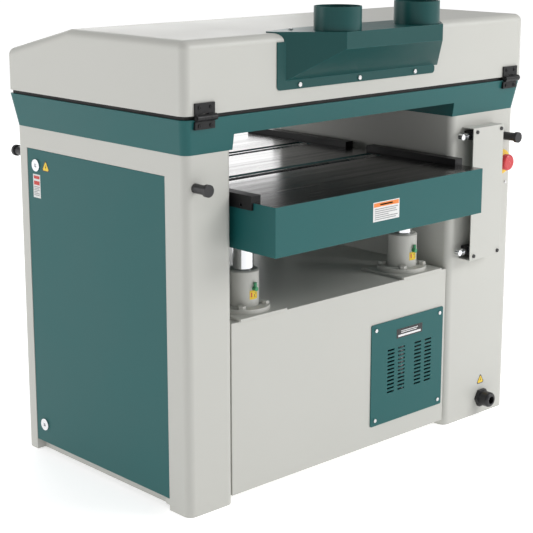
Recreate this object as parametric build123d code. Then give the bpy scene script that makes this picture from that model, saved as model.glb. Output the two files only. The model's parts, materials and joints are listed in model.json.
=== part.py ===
from build123d import *
import math
import os

# Thickness planer with a fixed head and a power-raised table on four posts.
# Millimetres, +Z up. The origin is on the floor under the middle of the cabinet.
# +X runs along the cutterhead towards the belt column. +Y is the infeed side, -Y the outfeed side.

# Overall sizes
BODY_WIDTH = 1060.0
BODY_DEPTH = 600.0
COLUMN_HEIGHT = 774.0
HEAD_HEIGHT = 73.0
HEAD_FLARE = 12.0
HOOD_HEIGHT = 149.0
GASKET_HEIGHT = 8.0
LEFT_COLUMN = 126.0
RIGHT_COLUMN = 237.0
DECK_HEIGHT = 402.0
SHEET = 3.0
CORNER = 18.0
PLATE_THICK = 10.0
SILL_RECESS = 22.0
SILL_HEIGHT = 28.0
PLATE_CLEAR = 0.5
ANCHOR_INSET_X = 60.0
ANCHOR_INSET_Y = 60.0
ANCHOR_HOLE = 9.0

# Centre cabinet and deck
FRONT_RECESS = 6.0
TOE_GAP = 15.0
SHELF = 6.0
DECK = 8.0
PAD = 136.0
PAD_HEIGHT = 6.0

# Fits
RUNNING = 0.05
GAP = 1.0

# Head and cutting group
HEAD_WALL = 12.0
HEAD_LIP = 33.0
HEAD_POCKET_WALL = 24.0
CHEEK = 20.0
CHEEK_RISE = 58.0
CHEEK_BEHIND = 170.0
CHEEK_FAR_MARGIN = 50.0
FINGER_ROD_INSET = 25.0
CUTTER_Y = 10.0
CUTTER_DROP = 2.0
CUTTER_RADIUS = 49.0
CUTTER_BODY = 46.5
CUTTER_JOURNAL = 20.0
CUTTER_BEARING = 40.0
KNIFE_COUNT = 4
KNIFE_THICK = 3.0
KNIFE_ROOT = 22.0
GIB_THICK = 10.0
GIB_TOP = 43.5
FEED_ROLLER_RADIUS = 31.0
FEED_ROLLER_DROP = 2.0
FEED_JOURNAL = 15.0
FEED_BEARING = 24.0
ROLLER_SPACING = 121.0
FLUTES = 36
FLUTE_RADIUS = 1.6
SPROCKET = 40.0
SPROCKET_TEETH = 20
SPROCKET_THICK = 7.0
CHAIN_GAP = 0.4
CHAIN_THICK = 5.6
CHAIN_WIDE = 10.0
ROLLER_SPROCKET_X = -20.0
FEED_BOX_HALF_DEEP = 42.0
FEED_BOX_SETBACK = 12.0
FEED_MOTOR_PROUD = 3.0
FEED_MOTOR_TALL = 240.0
FEED_CAP_TALL = 30.0

# Table
TABLE_GAP_LEFT = 12.0
TABLE_GAP_RIGHT = 25.0
TABLE_LENGTH = 832.0
TABLE_DROP = 106.0
TABLE_DEEP = 105.0
TABLE_PLATE = 24.0
TABLE_APRON = 14.0
TABLE_RIB = 12.0
RIB_DEEP = 50.0
RIB_INSET = 96.0
RAIL_WIDE = 20.0
RAIL_THICK = 6.0
RAIL_ABOVE = 15.0
RAIL_BELOW = 15.0
RAIL_INSET_BACK = 66.0
RAIL_INSET_FRONT = 48.0
RAIL_BREAK_BACK = -67.0
RAIL_BREAK_FRONT = 4.0
RAIL_BOLT_INSET = 32.0
RAIL_BOLT = 3.5
BED_ROLLER = 19.0
BED_ROLLER_RISE = 0.3
BED_JOURNAL = 8.0
BED_SLOT_HALF = 23.0
BED_SLOT_INSET = 37.0
POST_INSET_X = 90.0
POST_INSET_Y = 69.0
POST_RADIUS = 23.0
POST_BORE = 15.0
POST_BELOW_DECK = 142.0
BOSS_RADIUS = 36.0
BOSS_HEIGHT = 13.0
NUT_HEIGHT = 40.0
NUT_FLANGE = 8.0

# Lift
SLEEVE_RADIUS = 35.0
SLEEVE_ABOVE_DECK = 95.0
SLEEVE_BELOW_DECK = 102.0
SLEEVE_CHAMFER = 3.0
FLANGE_RADIUS = 59.0
FLANGE_THICK = 10.0
FLANGE_BOLT_CIRCLE = 48.0
BOLT_RADIUS = 5.0
BOLT_HEAD = 9.0
BOLT_HEAD_HEIGHT = 7.0
SCREW_RADIUS = 12.0
SCREW_ABOVE_DECK = 98.0
SCREW_FOOT = 60.0
PEDESTAL_RADIUS = 28.0
PEDESTAL_TOP = 92.0
LIFT_CHAIN_Z = 106.0
LIFT_SPROCKET = 30.0
LIFT_TEETH = 15
LIFT_SHAFT = 10.0
OILER_ABOVE_DECK = 56.0
OILER_RADIUS = 5.0
OILER_OUT = 9.0
OILER_NIPPLE = 14.0

# Main drive
MOTOR_Z = 240.0
MOTOR_RADIUS = 84.0
MOTOR_LONG = 200.0
MOTOR_WALL_GAP = 12.0
MOTOR_SHAFT = 14.0
MOTOR_PULLEY = 62.0
HEAD_PULLEY = 43.0
BELT_COUNT = 3
BELT_PITCH = 16.0
BELT_WIDE = 11.0
BELT_DEEP = 8.0
BELT_GAP = 0.5
PULLEY_SETBACK = 40.0
PULLEY_WIDE = 52.0

# Hood
HOOD_WALL = 4.0
HOOD_RADIUS = 18.0
HOOD_SLOPE_RUN = 236.0
HOOD_SLOPE_DROP = 57.6
HINGE_INSET = 52.0
HINGE_WIDE = 52.0
HINGE_UPPER_TALL = 21.0
HINGE_LOWER_TALL = 16.0
HINGE_MARGIN = 4.0
HINGE_THICK = 4.0
KNUCKLE = 7.0
KNUCKLE_PIN = 3.0
KNUCKLE_GAP = 0.5

# Dust hood
DUST_CENTRE = -25.5
DUST_FRONT_HALF = 152.5
DUST_REACH = 92.0
DUST_FRONT_HEIGHT = 33.0
DUST_DROP = 101.0
DUST_SHEET = 2.5
DUST_FLANGE = 17.0
DUST_TOP_REACH = 60.0
DUST_TOP_HALF = 164.5
DUST_TIP_HALF = 265.5
DUST_TIP_BACK = 27.0
DUST_TOP_SCREW_HALF = 195.5
DUST_TOP_SCREW_BACK = 28.0
PORT_SPACING = 250.6
PORT_RADIUS = 50.8
PORT_WALL = 2.0
PORT_HEIGHT = 50.0
PORT_OUT = 38.0

# Panels and fittings
VENT_LEFT_INSET = 9.0
VENT_WIDE = 254.0
VENT_BOTTOM = 61.0
VENT_TALL = 249.0
VENT_THICK = 2.5
SLOT_LONG = 25.0
SLOT_TALL = 4.5
SLOT_PITCH = 9.4
SLOT_ROWS = 6
DOOR_INSET_NEAR = 66.0
DOOR_INSET_FAR = 40.0
DOOR_BOTTOM = 25.0
DOOR_TOP_MARGIN = 48.0
DOOR_RETURN = 10.0
LOCK_RADIUS = 11.0
LOCK_INSET = 34.0
LOCK_UPPER_DROP = 37.0
LOCK_LOWER_RISE = 45.0
CAM_LONG = 45.0
CAM_SWEEP = 40.0
COVER_LEFT = 39.5
COVER_WIDE = 114.0
COVER_TOP_MARGIN = 29.0
COVER_TALL = 323.5
COVER_DEEP = 35.0
SWITCH_INSET_TOP = 20.0
COVER_SCREW_LEFT = 14.0
COVER_SCREW_RIGHT = 9.0
COVER_SCREW_EDGE = 10.0
SWITCH_INSET_BOTTOM = 21.5
SWITCH_STROKE = 5.0
ESTOP_INSET = 42.0
ESTOP_DROP = 130.5
ESTOP_COLLAR = 30.0
ESTOP_COLLAR_THICK = 3.0
ESTOP_NECK = 15.0
ESTOP_NECK_OUT = 7.0
ESTOP_STEM = 9.0
ESTOP_CAP = 20.0
ESTOP_CAP_BACK = 12.0
ESTOP_CAP_OUT = 25.0
GLAND_INSET = 94.0
GLAND_Z = 42.0
GLAND_BORE = 10.0
GLAND_THREAD = 16.0
GLAND_HEX = 24.0
GLAND_HEX_THICK = 9.0
GLAND_DOME = 19.0
GLAND_OUT = 36.0
GLAND_IN = 14.0
BAR_RADIUS = 10.0
BAR_INSET_LEFT = 25.0
BAR_INSET_RIGHT = 33.0
BAR_DROP = 67.0
BAR_CLEARANCE = 11.0
BAR_OUT = 43.0
BAR_KNOB = 13.0
BAR_KNOB_THICK = 8.0
BAR_GUIDE_WALL = 2.5
CONTROL_LEFT = 27.0
CONTROL_WIDE = 150.0
CONTROL_TOP_MARGIN = 34.0
CONTROL_TALL = 110.0
CONTROL_DEEP = 45.0

# Places that follow from the sizes above
HALF_W = BODY_WIDTH / 2
HALF_D = BODY_DEPTH / 2
OPEN_L = LEFT_COLUMN - HALF_W
OPEN_R = HALF_W - RIGHT_COLUMN
HEAD_TOP = COLUMN_HEIGHT + HEAD_HEIGHT
HEAD_OPEN = COLUMN_HEIGHT + HEAD_LIP
HOOD_BOTTOM = HEAD_TOP + GASKET_HEIGHT
HOOD_TOP = HOOD_BOTTOM + HOOD_HEIGHT
FLARE_W = HALF_W + HEAD_FLARE
FLARE_D = HALF_D + HEAD_FLARE
FRONT = FRONT_RECESS - HALF_D
PAD_TOP = DECK_HEIGHT + PAD_HEIGHT
TABLE_L = OPEN_L + TABLE_GAP_LEFT
TABLE_R = OPEN_R - TABLE_GAP_RIGHT
TABLE_HALF = TABLE_LENGTH / 2
TABLE_TOP = COLUMN_HEIGHT - TABLE_DROP
TABLE_BOTTOM = TABLE_TOP - TABLE_DEEP
PLATE_BOTTOM = TABLE_TOP - TABLE_PLATE
WORK_L = TABLE_L + RAIL_WIDE + 3 * GAP
WORK_R = TABLE_R - RAIL_WIDE - 3 * GAP
POST_X = (OPEN_L + POST_INSET_X, OPEN_R - POST_INSET_X)
POST_Y = (POST_INSET_Y - HALF_D, HALF_D - POST_INSET_Y)
POST_BOTTOM = DECK_HEIGHT - POST_BELOW_DECK
SLEEVE_TOP = DECK_HEIGHT + SLEEVE_ABOVE_DECK
SLEEVE_BOTTOM = DECK_HEIGHT - SLEEVE_BELOW_DECK
SCREW_TOP = DECK_HEIGHT + SCREW_ABOVE_DECK
OILER_Z = DECK_HEIGHT + OILER_ABOVE_DECK
OUTFEED_Y = CUTTER_Y - ROLLER_SPACING
INFEED_Y = CUTTER_Y + ROLLER_SPACING
CUTTER_Z = HEAD_TOP - CUTTER_DROP
FEED_Z = CUTTER_Z - CUTTER_RADIUS - FEED_ROLLER_DROP + FEED_ROLLER_RADIUS
ROLLER_SPROCKET = OPEN_L - CHEEK + ROLLER_SPROCKET_X + SPROCKET_THICK
FEED_BOX_L = HEAD_WALL - HALF_W
FEED_BOX_R = ROLLER_SPROCKET - FEED_BOX_SETBACK
FEED_MOTOR_RADIUS = (FEED_BOX_R - FEED_BOX_L) / 2 + FEED_MOTOR_PROUD
BAR_LONG = HALF_D + OUTFEED_Y - FEED_MOTOR_RADIUS - BAR_CLEARANCE
PULLEY_X = OPEN_R + PULLEY_SETBACK
DOOR_NEAR = DOOR_INSET_NEAR - HALF_D
DOOR_FAR = HALF_D - DOOR_INSET_FAR
DOOR_TOP = COLUMN_HEIGHT - DOOR_TOP_MARGIN
BAR_Z = COLUMN_HEIGHT - BAR_DROP
ESTOP_Z = COLUMN_HEIGHT - ESTOP_DROP
CONTROL_BOTTOM = COLUMN_HEIGHT - CONTROL_TOP_MARGIN - CONTROL_TALL
COVER_BOTTOM = COLUMN_HEIGHT - COVER_TOP_MARGIN - COVER_TALL
HINGE_X = FLARE_W - HINGE_INSET
HINGE_Y = -FLARE_D - KNUCKLE
HINGE_Z = (HEAD_TOP + HOOD_BOTTOM) / 2
DUST_Y = -FLARE_D - DUST_REACH
DUST_BOTTOM = HOOD_TOP - DUST_DROP
DUST_TOP_BACK = DUST_TOP_REACH - FLARE_D
PORT_Y = -FLARE_D - PORT_OUT


def block(x0, x1, y0, y1, z0, z1):
    """Box between two corners."""
    return Pos((x0 + x1) / 2, (y0 + y1) / 2, (z0 + z1) / 2) * Box(x1 - x0, y1 - y0, z1 - z0)


def rod_x(y, z, radius, x0, x1):
    """Cylinder along X."""
    return Pos((x0 + x1) / 2, y, z) * Rot(0, 90, 0) * Cylinder(radius, x1 - x0)


def rod_y(x, z, radius, y0, y1):
    """Cylinder along Y."""
    return Pos(x, (y0 + y1) / 2, z) * Rot(90, 0, 0) * Cylinder(radius, y1 - y0)


def rod_z(x, y, radius, z0, z1):
    """Cylinder along Z."""
    return Pos(x, y, (z0 + z1) / 2) * Cylinder(radius, z1 - z0)


def prism_x(sketch, x0, x1):
    """Sketch drawn with Y across and Z up, run along X from x0 to x1."""
    return Pos(x0, 0, 0) * extrude(Plane.YZ * sketch, x1 - x0, dir=(1, 0, 0))


def rounded_column(x0, x1, half_depth, z0, z1, radius):
    """Upright box with rounded vertical edges."""
    outline = Pos((x0 + x1) / 2, 0) * RectangleRounded(x1 - x0, 2 * half_depth, radius)
    return Pos(0, 0, z0) * extrude(outline, z1 - z0)


def group(pieces):
    """Separate solids of one node."""
    solids = []
    for piece in pieces:
        solids += piece.solids()
    return Compound(children=solids)


def sprocket(radius, teeth, thick):
    """Toothed wheel in the XY plane, centred on its own thickness."""
    blank = Circle(radius)
    notch = Circle(math.pi * radius / teeth / 2)
    notches = [Rot(0, 0, 360 * i / teeth) * Pos(radius, 0) * notch for i in range(teeth)]
    return Pos(0, 0, -thick / 2) * extrude(blank - notches, thick)


def loop(centres, inner, thick):
    """Flat band that wraps circles of one radius at the given centres."""
    wheels = [Pos(x, y) * Circle(inner) for x, y in centres]
    outer = [Pos(x, y) * Circle(inner + thick) for x, y in centres]
    inside = make_hull([edge for wheel in wheels for edge in wheel.edges()])
    outside = make_hull([edge for wheel in outer for edge in wheel.edges()])
    return outside - inside


def bolt_places():
    """Centres of the sleeve flange bolts."""
    places = []
    for x in POST_X:
        for y in POST_Y:
            for i in range(4):
                turn = math.radians(45 + 90 * i)
                along = FLANGE_BOLT_CIRCLE * math.cos(turn)
                across = FLANGE_BOLT_CIRCLE * math.sin(turn)
                places.append((x + along, y + across))
    return places


def posts():
    """Centres of the four posts."""
    return [(x, y) for x in POST_X for y in POST_Y]


def bar_places():
    """Across place and side of each lifting bar: -1 is the outfeed face, +1 the infeed face."""
    left = BAR_INSET_LEFT - HALF_W
    right = HALF_W - BAR_INSET_RIGHT
    return [
        ("outfeed_left", left, -1),
        ("outfeed_right", right, -1),
        ("infeed_left", left, 1),
        ("infeed_right", right, 1),
    ]


# Floor frame, cabinet and columns


def base_frame():
    """Floor plate in each column with a sill that closes the gap below the door, and four anchor holes."""
    clear = SHEET + PLATE_CLEAR
    plates = []
    for side, inner in ((-1, OPEN_L), (1, OPEN_R)):
        outer = side * (HALF_W - SILL_RECESS)
        edge = inner + side * clear
        low = min(outer, edge)
        high = max(outer, edge)
        plate = rounded_column(low, high, HALF_D - clear, 0, PLATE_THICK, CORNER - clear)
        sill = (outer, outer - side * SHEET)
        plate += block(min(sill), max(sill), DOOR_NEAR, DOOR_FAR, 0, SILL_HEIGHT)
        for y in (ANCHOR_INSET_Y - HALF_D, HALF_D - ANCHOR_INSET_Y):
            plate -= rod_z(side * (HALF_W - ANCHOR_INSET_X), y, ANCHOR_HOLE, -1, PLATE_THICK + 1)
        plates.append(plate)
    return group(plates)


def base_cabinet():
    """Centre box between the columns: shelf, four walls, and the deck with its pads."""
    box = block(OPEN_L, OPEN_R, FRONT, -FRONT, TOE_GAP, DECK_HEIGHT)
    low = TOE_GAP + SHELF
    high = DECK_HEIGHT - DECK
    box -= block(OPEN_L + SHEET, OPEN_R - SHEET, FRONT + SHEET, -FRONT - SHEET, low, high)
    for x, y in posts():
        side = math.copysign(1, y)
        near = y - side * PAD / 2
        edge = side * (HALF_D - GAP)
        box += block(x - PAD / 2, x + PAD / 2, min(near, edge), max(near, edge), DECK_HEIGHT, PAD_TOP)
        box -= rod_z(x, y, SLEEVE_RADIUS + RUNNING, DECK_HEIGHT - DECK - 1, PAD_TOP + 1)
    for x, y in bolt_places():
        box -= rod_z(x, y, BOLT_RADIUS + RUNNING, DECK_HEIGHT - DECK - 1, PAD_TOP + 1)
    vent_l = OPEN_R - VENT_LEFT_INSET - VENT_WIDE
    vent_r = vent_l + VENT_WIDE
    vent_top = VENT_BOTTOM + VENT_TALL
    box -= block(vent_l + 20, vent_r - 20, FRONT - 1, FRONT + SHEET + 1, VENT_BOTTOM + 20, vent_top - 20)
    box -= rod_x(CUTTER_Y, MOTOR_Z, MOTOR_SHAFT + 10, OPEN_R - SHEET - 1, OPEN_R + 1)
    return box


def bar_guide(x, side):
    """Tube welded behind a column face that a lifting bar slides in."""
    wall = side * (HALF_D - SHEET / 2)
    inner = side * (HALF_D - BAR_LONG)
    return rod_y(x, BAR_Z, BAR_RADIUS + BAR_GUIDE_WALL, min(wall, inner), max(wall, inner))


def column(x0, x1):
    """Sheet column, open at top and bottom."""
    shell = rounded_column(x0, x1, HALF_D, 0, COLUMN_HEIGHT, CORNER)
    top = COLUMN_HEIGHT + 1
    return shell - rounded_column(x0 + SHEET, x1 - SHEET, HALF_D - SHEET, -1, top, CORNER - SHEET)


def with_bar_guides(shell, places):
    """Column with its guide tubes and their bores."""
    for name, x, side in places:
        shell += bar_guide(x, side)
    for name, x, side in places:
        mouth = side * (HALF_D + 1)
        shell -= rod_y(x, BAR_Z, BAR_RADIUS + RUNNING, min(0, mouth), max(0, mouth))
    return shell


def left_housing():
    """Feed drive column: door opening down to the floor, folded edges beside the sill, pivot brackets."""
    shell = with_bar_guides(column(-HALF_W, OPEN_L), [p for p in bar_places() if p[1] < 0])
    shell -= block(-HALF_W - 1, -HALF_W + SHEET + 1, DOOR_NEAR, DOOR_FAR, -1, DOOR_TOP)
    skin = -HALF_W + SHEET / 2
    for y0 in (DOOR_NEAR - SHEET, DOOR_FAR):
        shell += block(skin, -HALF_W + SILL_RECESS, y0, y0 + SHEET, 0, DOOR_BOTTOM - GAP)
    for z0, z1 in ((DOOR_BOTTOM - 14, DOOR_BOTTOM), (DOOR_TOP, DOOR_TOP + 14)):
        shell += block(skin, -HALF_W + 12, DOOR_NEAR - 5, DOOR_NEAR + 14, z0, z1)
    return shell


def right_housing():
    """Belt column with the cover opening in its side."""
    shell = with_bar_guides(column(OPEN_R, HALF_W), [p for p in bar_places() if p[1] > 0])
    shell -= block(HALF_W - SHEET - 1, HALF_W + 1, 60 - HALF_D, HALF_D - 60, 45, COLUMN_HEIGHT - 75)
    shell -= rod_x(CUTTER_Y, MOTOR_Z, MOTOR_SHAFT + 10, OPEN_R - 1, OPEN_R + SHEET + 1)
    gland_x = HALF_W - GLAND_INSET
    shell -= rod_y(gland_x, GLAND_Z, GLAND_THREAD + RUNNING, -HALF_D - 1, SHEET + 1 - HALF_D)
    for x, y, z in cover_screws():
        shell -= rod_x(y, z, 3 + RUNNING, HALF_W - SHEET - 1, HALF_W + 1)
    return shell


def cover_screws():
    """Screw centres of the belt column cover."""
    heights = (60, COLUMN_HEIGHT / 2, COLUMN_HEIGHT - 90)
    return [(HALF_W, y, z) for y in (50 - HALF_D, HALF_D - 50) for z in heights]


def right_cover():
    """Removable sheet over the belt column's opening, with screw holes."""
    outline = RectangleRounded(BODY_DEPTH - 80, COLUMN_HEIGHT - 100, 12)
    plate = Pos(0, 0, COLUMN_HEIGHT / 2 - 15) * prism_x(outline, HALF_W, HALF_W + 2)
    for x, y, z in cover_screws():
        plate -= rod_x(y, z, 3 + RUNNING, HALF_W - 1, HALF_W + 3)
    return plate


def left_door():
    """Flush side door with stiffening returns, pivot bores and lock bores."""
    x0 = GAP - HALF_W
    x1 = x0 + SHEET
    near = DOOR_NEAR + 1.5 * GAP
    far = DOOR_FAR - GAP
    bottom = DOOR_BOTTOM + GAP
    top = DOOR_TOP - GAP
    door = block(x0, x1, near, far, bottom, top)
    upper, lower = lock_heights()
    near_return = (near, bottom, BAR_Z - 2 * BAR_RADIUS)
    far_return = (far - SHEET, lower + CAM_SWEEP / 2, upper - CAM_SWEEP)
    for y0, z0, z1 in (near_return, far_return):
        door += block(x1 - 1, x1 + DOOR_RETURN, y0, y0 + SHEET, z0, z1)
    for z0, z1 in ((bottom, bottom + 20), (top - 20, top)):
        door += rod_z(door_pivot()[0], door_pivot()[1], 4, z0, z1) & block(x0, 0, near, far, z0, z1)
        door -= rod_z(door_pivot()[0], door_pivot()[1], 2 + RUNNING, z0 - 1, z1 + 1)
    for z in lock_heights():
        door -= rod_x(lock_y(), z, LOCK_RADIUS + RUNNING, x0 - 1, x1 + 1)
    return door


def door_pivot():
    """Across and depth places of the door's vertical axis."""
    return (-HALF_W + 4 * GAP, DOOR_NEAR + 7 * GAP)


def lock_y():
    """Depth place of both door locks."""
    return DOOR_FAR - LOCK_INSET


def lock_heights():
    """Heights of the two door locks."""
    return (DOOR_TOP - LOCK_UPPER_DROP, DOOR_BOTTOM + LOCK_LOWER_RISE)


def door_lock(z):
    """Quarter-turn lock: round body with a key recess, and a cam behind the door."""
    x0 = GAP - HALF_W
    body = rod_x(lock_y(), z, LOCK_RADIUS, x0, x0 + SHEET + 4)
    head = rod_x(lock_y(), z, LOCK_RADIUS + 3, x0 - 3, x0)
    recess = block(x0 - 4, x0 + 1, lock_y() - 4, lock_y() + 4, z - 4, z + 4)
    cam = block(x0 + SHEET + 3, x0 + SHEET + 6, lock_y() - 7, lock_y() + 7, z - CAM_LONG, z + 8)
    return body + head + cam - recess


# Head, cutting group and rollers


def head_outline(z0, z1):
    """Head casting's outer form, flared from the columns' outline to the hood's."""
    low = Pos(0, 0, COLUMN_HEIGHT) * RectangleRounded(BODY_WIDTH, BODY_DEPTH, CORNER)
    high = Pos(0, 0, HEAD_TOP) * RectangleRounded(2 * FLARE_W, 2 * FLARE_D, CORNER)
    return loft([low.face(), high.face()])


def cheek_bores():
    """Bearing places in the head's two cheeks: depth, height and radius."""
    return [
        (CUTTER_Y, CUTTER_Z, CUTTER_BEARING),
        (OUTFEED_Y, FEED_Z, FEED_BEARING),
        (INFEED_Y, FEED_Z, FEED_BEARING),
    ]


def head_frame():
    """Flared ring casting with two cheeks that hold the cutterhead and the feed rollers."""
    ring = head_outline(COLUMN_HEIGHT, HEAD_TOP)
    low = COLUMN_HEIGHT - 1
    high = HEAD_TOP + 1
    depth = HALF_D - HEAD_WALL
    ring -= block(OPEN_L, OPEN_R, -depth, depth, low, high)
    ring -= block(OPEN_L, OPEN_R, -FLARE_D - 1, FLARE_D + 1, low, HEAD_OPEN)
    ring -= block(HEAD_WALL - HALF_W, OPEN_L - CHEEK, -depth, depth, low, high)
    ring -= block(OPEN_R + CHEEK, HALF_W - HEAD_WALL, -depth, depth, low, high)
    for x0 in (OPEN_L - CHEEK, OPEN_R):
        near = CUTTER_Y - CHEEK_BEHIND
        far = HALF_D - CHEEK_FAR_MARGIN
        ring += block(x0, x0 + CHEEK, near, far, COLUMN_HEIGHT, HEAD_TOP + CHEEK_RISE)
        for y, z, radius in cheek_bores():
            ring -= rod_x(y, z, radius + RUNNING, x0 - 1, x0 + CHEEK + 1)
        for y, z in (breaker_pivot(), finger_pivot()):
            ring -= rod_x(y, z, 8 + RUNNING, x0 - 1, x0 + CHEEK + 1)
    return ring


def bearing_blocks():
    """Bearing rings of the cutterhead and rollers, and the four leadscrew footstep bearings."""
    rings = []
    for x0 in (OPEN_L - CHEEK, OPEN_R):
        for y, z, radius in cheek_bores():
            inner = CUTTER_JOURNAL if radius == CUTTER_BEARING else FEED_JOURNAL
            ring = rod_x(y, z, radius, x0, x0 + CHEEK) - rod_x(y, z, inner + RUNNING, x0 - 1, x0 + CHEEK + 1)
            rings.append(ring)
    for x, y in posts():
        foot = rod_z(x, y, PEDESTAL_RADIUS, TOE_GAP + SHELF, PEDESTAL_TOP)
        rings.append(foot - rod_z(x, y, SCREW_RADIUS + RUNNING, SCREW_FOOT, PEDESTAL_TOP + 1))
    return group(rings)


def cutterhead():
    """Cutter body with its knife slots and journals."""
    body = rod_x(0, 0, CUTTER_BODY, WORK_L, WORK_R)
    slot = block(WORK_L - 1, WORK_R + 1, 0, KNIFE_THICK + GIB_THICK + 0.2, KNIFE_ROOT, CUTTER_RADIUS + 5)
    for i in range(KNIFE_COUNT):
        body -= Rot(360 * i / KNIFE_COUNT, 0, 0) * slot
    body += rod_x(0, 0, CUTTER_JOURNAL, OPEN_L - CHEEK - 2, PULLEY_X + PULLEY_WIDE + 6)
    return Pos(0, CUTTER_Y, CUTTER_Z) * body


def cutterhead_knives():
    """Straight knives and the gibs that lock them."""
    pieces = []
    for i in range(KNIFE_COUNT):
        turn = Pos(0, CUTTER_Y, CUTTER_Z) * Rot(360 * i / KNIFE_COUNT, 0, 0)
        pieces.append(turn * block(WORK_L, WORK_R, 0, KNIFE_THICK, KNIFE_ROOT, CUTTER_RADIUS - 0.1))
        gib_y = KNIFE_THICK + 0.1
        pieces.append(turn * block(WORK_L, WORK_R, gib_y, gib_y + GIB_THICK, KNIFE_ROOT, GIB_TOP))
    return group(pieces)


def grooved_pulley(radius, shaft):
    """Multi-groove pulley centred on its shaft, from PULLEY_X."""
    pulley = rod_x(0, 0, radius, PULLEY_X, PULLEY_X + PULLEY_WIDE)
    for x in belt_centres():
        ring = rod_x(0, 0, radius + 1, x - BELT_WIDE / 2 - BELT_GAP, x + BELT_WIDE / 2 + BELT_GAP)
        ring -= rod_x(0, 0, radius - BELT_DEEP, x - BELT_WIDE, x + BELT_WIDE)
        pulley -= ring
    return pulley - rod_x(0, 0, shaft, PULLEY_X - 1, PULLEY_X + PULLEY_WIDE + 1)


def belt_centres():
    """Places of the belts along the shafts."""
    middle = PULLEY_X + PULLEY_WIDE / 2
    return [middle + (i - (BELT_COUNT - 1) / 2) * BELT_PITCH for i in range(BELT_COUNT)]


def cutterhead_pulley():
    """Pulley keyed on the cutterhead's right journal."""
    return Pos(0, CUTTER_Y, CUTTER_Z) * grooved_pulley(HEAD_PULLEY, CUTTER_JOURNAL)


def motor_pulley():
    """Motor shaft with its pulley."""
    shaft = rod_x(0, 0, MOTOR_SHAFT, OPEN_R - SHEET - MOTOR_WALL_GAP - 30, PULLEY_X + PULLEY_WIDE + 6)
    return Pos(0, CUTTER_Y, MOTOR_Z) * (grooved_pulley(MOTOR_PULLEY, MOTOR_SHAFT) + shaft)


def drive_belts():
    """V-belts round the motor and cutterhead pulleys."""
    belts = []
    for x in belt_centres():
        wheels = []
        covers = []
        for z, radius in ((MOTOR_Z, MOTOR_PULLEY), (CUTTER_Z, HEAD_PULLEY)):
            wheels += (Pos(CUTTER_Y, z) * Circle(radius - BELT_DEEP + BELT_GAP)).edges()
            covers += (Pos(CUTTER_Y, z) * Circle(radius + BELT_GAP)).edges()
        belts.append(prism_x(make_hull(covers) - make_hull(wheels), x - BELT_WIDE / 2, x + BELT_WIDE / 2))
    return group(belts)


def roller_sprocket(y):
    """Feed roller's chain wheel on its left journal."""
    wheel = sprocket(SPROCKET, SPROCKET_TEETH, SPROCKET_THICK)
    return Pos(ROLLER_SPROCKET, y, FEED_Z) * Rot(0, 90, 0) * wheel


def infeed_roller():
    """Fluted steel roller with journals and chain wheel."""
    flute = Pos(FEED_ROLLER_RADIUS, 0) * Circle(FLUTE_RADIUS)
    flutes = [Rot(0, 0, 360 * i / FLUTES) * flute for i in range(FLUTES)]
    body = Pos(0, INFEED_Y, FEED_Z) * prism_x(Circle(FEED_ROLLER_RADIUS) - flutes, WORK_L, WORK_R)
    shaft = rod_x(INFEED_Y, FEED_Z, FEED_JOURNAL, ROLLER_SPROCKET - SPROCKET_THICK, OPEN_R + CHEEK + 4)
    return body + shaft + roller_sprocket(INFEED_Y)


def outfeed_roller():
    """Smooth covered roller; its left journal runs on into the gearbox."""
    body = rod_x(OUTFEED_Y, FEED_Z, FEED_ROLLER_RADIUS, WORK_L, WORK_R)
    shaft = rod_x(OUTFEED_Y, FEED_Z, FEED_JOURNAL, ROLLER_SPROCKET - 40, OPEN_R + CHEEK + 4)
    return body + shaft + roller_sprocket(OUTFEED_Y)


def feed_gearmotor():
    """Feed gearbox on the head's end wall with its motor hanging in the left column."""
    near = OUTFEED_Y - FEED_BOX_HALF_DEEP
    far = OUTFEED_Y + FEED_BOX_HALF_DEEP
    low = COLUMN_HEIGHT - 6
    gearbox = block(FEED_BOX_L, FEED_BOX_R, near, far, low, FEED_Z + 44)
    gearbox -= rod_x(OUTFEED_Y, FEED_Z, FEED_JOURNAL + RUNNING, ROLLER_SPROCKET - 41, FEED_BOX_R + 1)
    motor_x = (FEED_BOX_L + FEED_BOX_R) / 2 + 2
    foot = low - FEED_MOTOR_TALL
    motor = rod_z(motor_x, OUTFEED_Y, FEED_MOTOR_RADIUS, foot, low)
    cap = rod_z(motor_x, OUTFEED_Y, FEED_MOTOR_RADIUS - 4, foot - FEED_CAP_TALL, foot)
    return gearbox + motor + cap


def drive_chains():
    """Feed chain between the roller sprockets, and lift chain round the screw sprockets."""
    feed = loop([(OUTFEED_Y, FEED_Z), (INFEED_Y, FEED_Z)], SPROCKET + CHAIN_GAP, CHAIN_THICK)
    feed_band = prism_x(feed, ROLLER_SPROCKET - CHAIN_WIDE / 2, ROLLER_SPROCKET + CHAIN_WIDE / 2)
    lift = loop(posts(), LIFT_SPROCKET + CHAIN_GAP, CHAIN_THICK)
    lift_band = Pos(0, 0, LIFT_CHAIN_Z - CHAIN_WIDE / 2) * extrude(lift, CHAIN_WIDE)
    return group([feed_band, lift_band])


def pressure_bar():
    """Stepped bar behind the cutterhead that holds the board down."""
    toe_low = CUTTER_Z - CUTTER_RADIUS + 1
    toe = block(WORK_L + 2, WORK_R - 2, CUTTER_Y - 82, CUTTER_Y - 62, toe_low, HEAD_OPEN + 10)
    beam = block(OPEN_L, OPEN_R, CUTTER_Y - 84, CUTTER_Y - 58, HEAD_OPEN + 6, HEAD_OPEN + 32)
    return toe + beam


def breaker_pivot():
    """Depth and height of the chip breaker's rod."""
    return (CUTTER_Y + 72, CUTTER_Z + 43)


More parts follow.
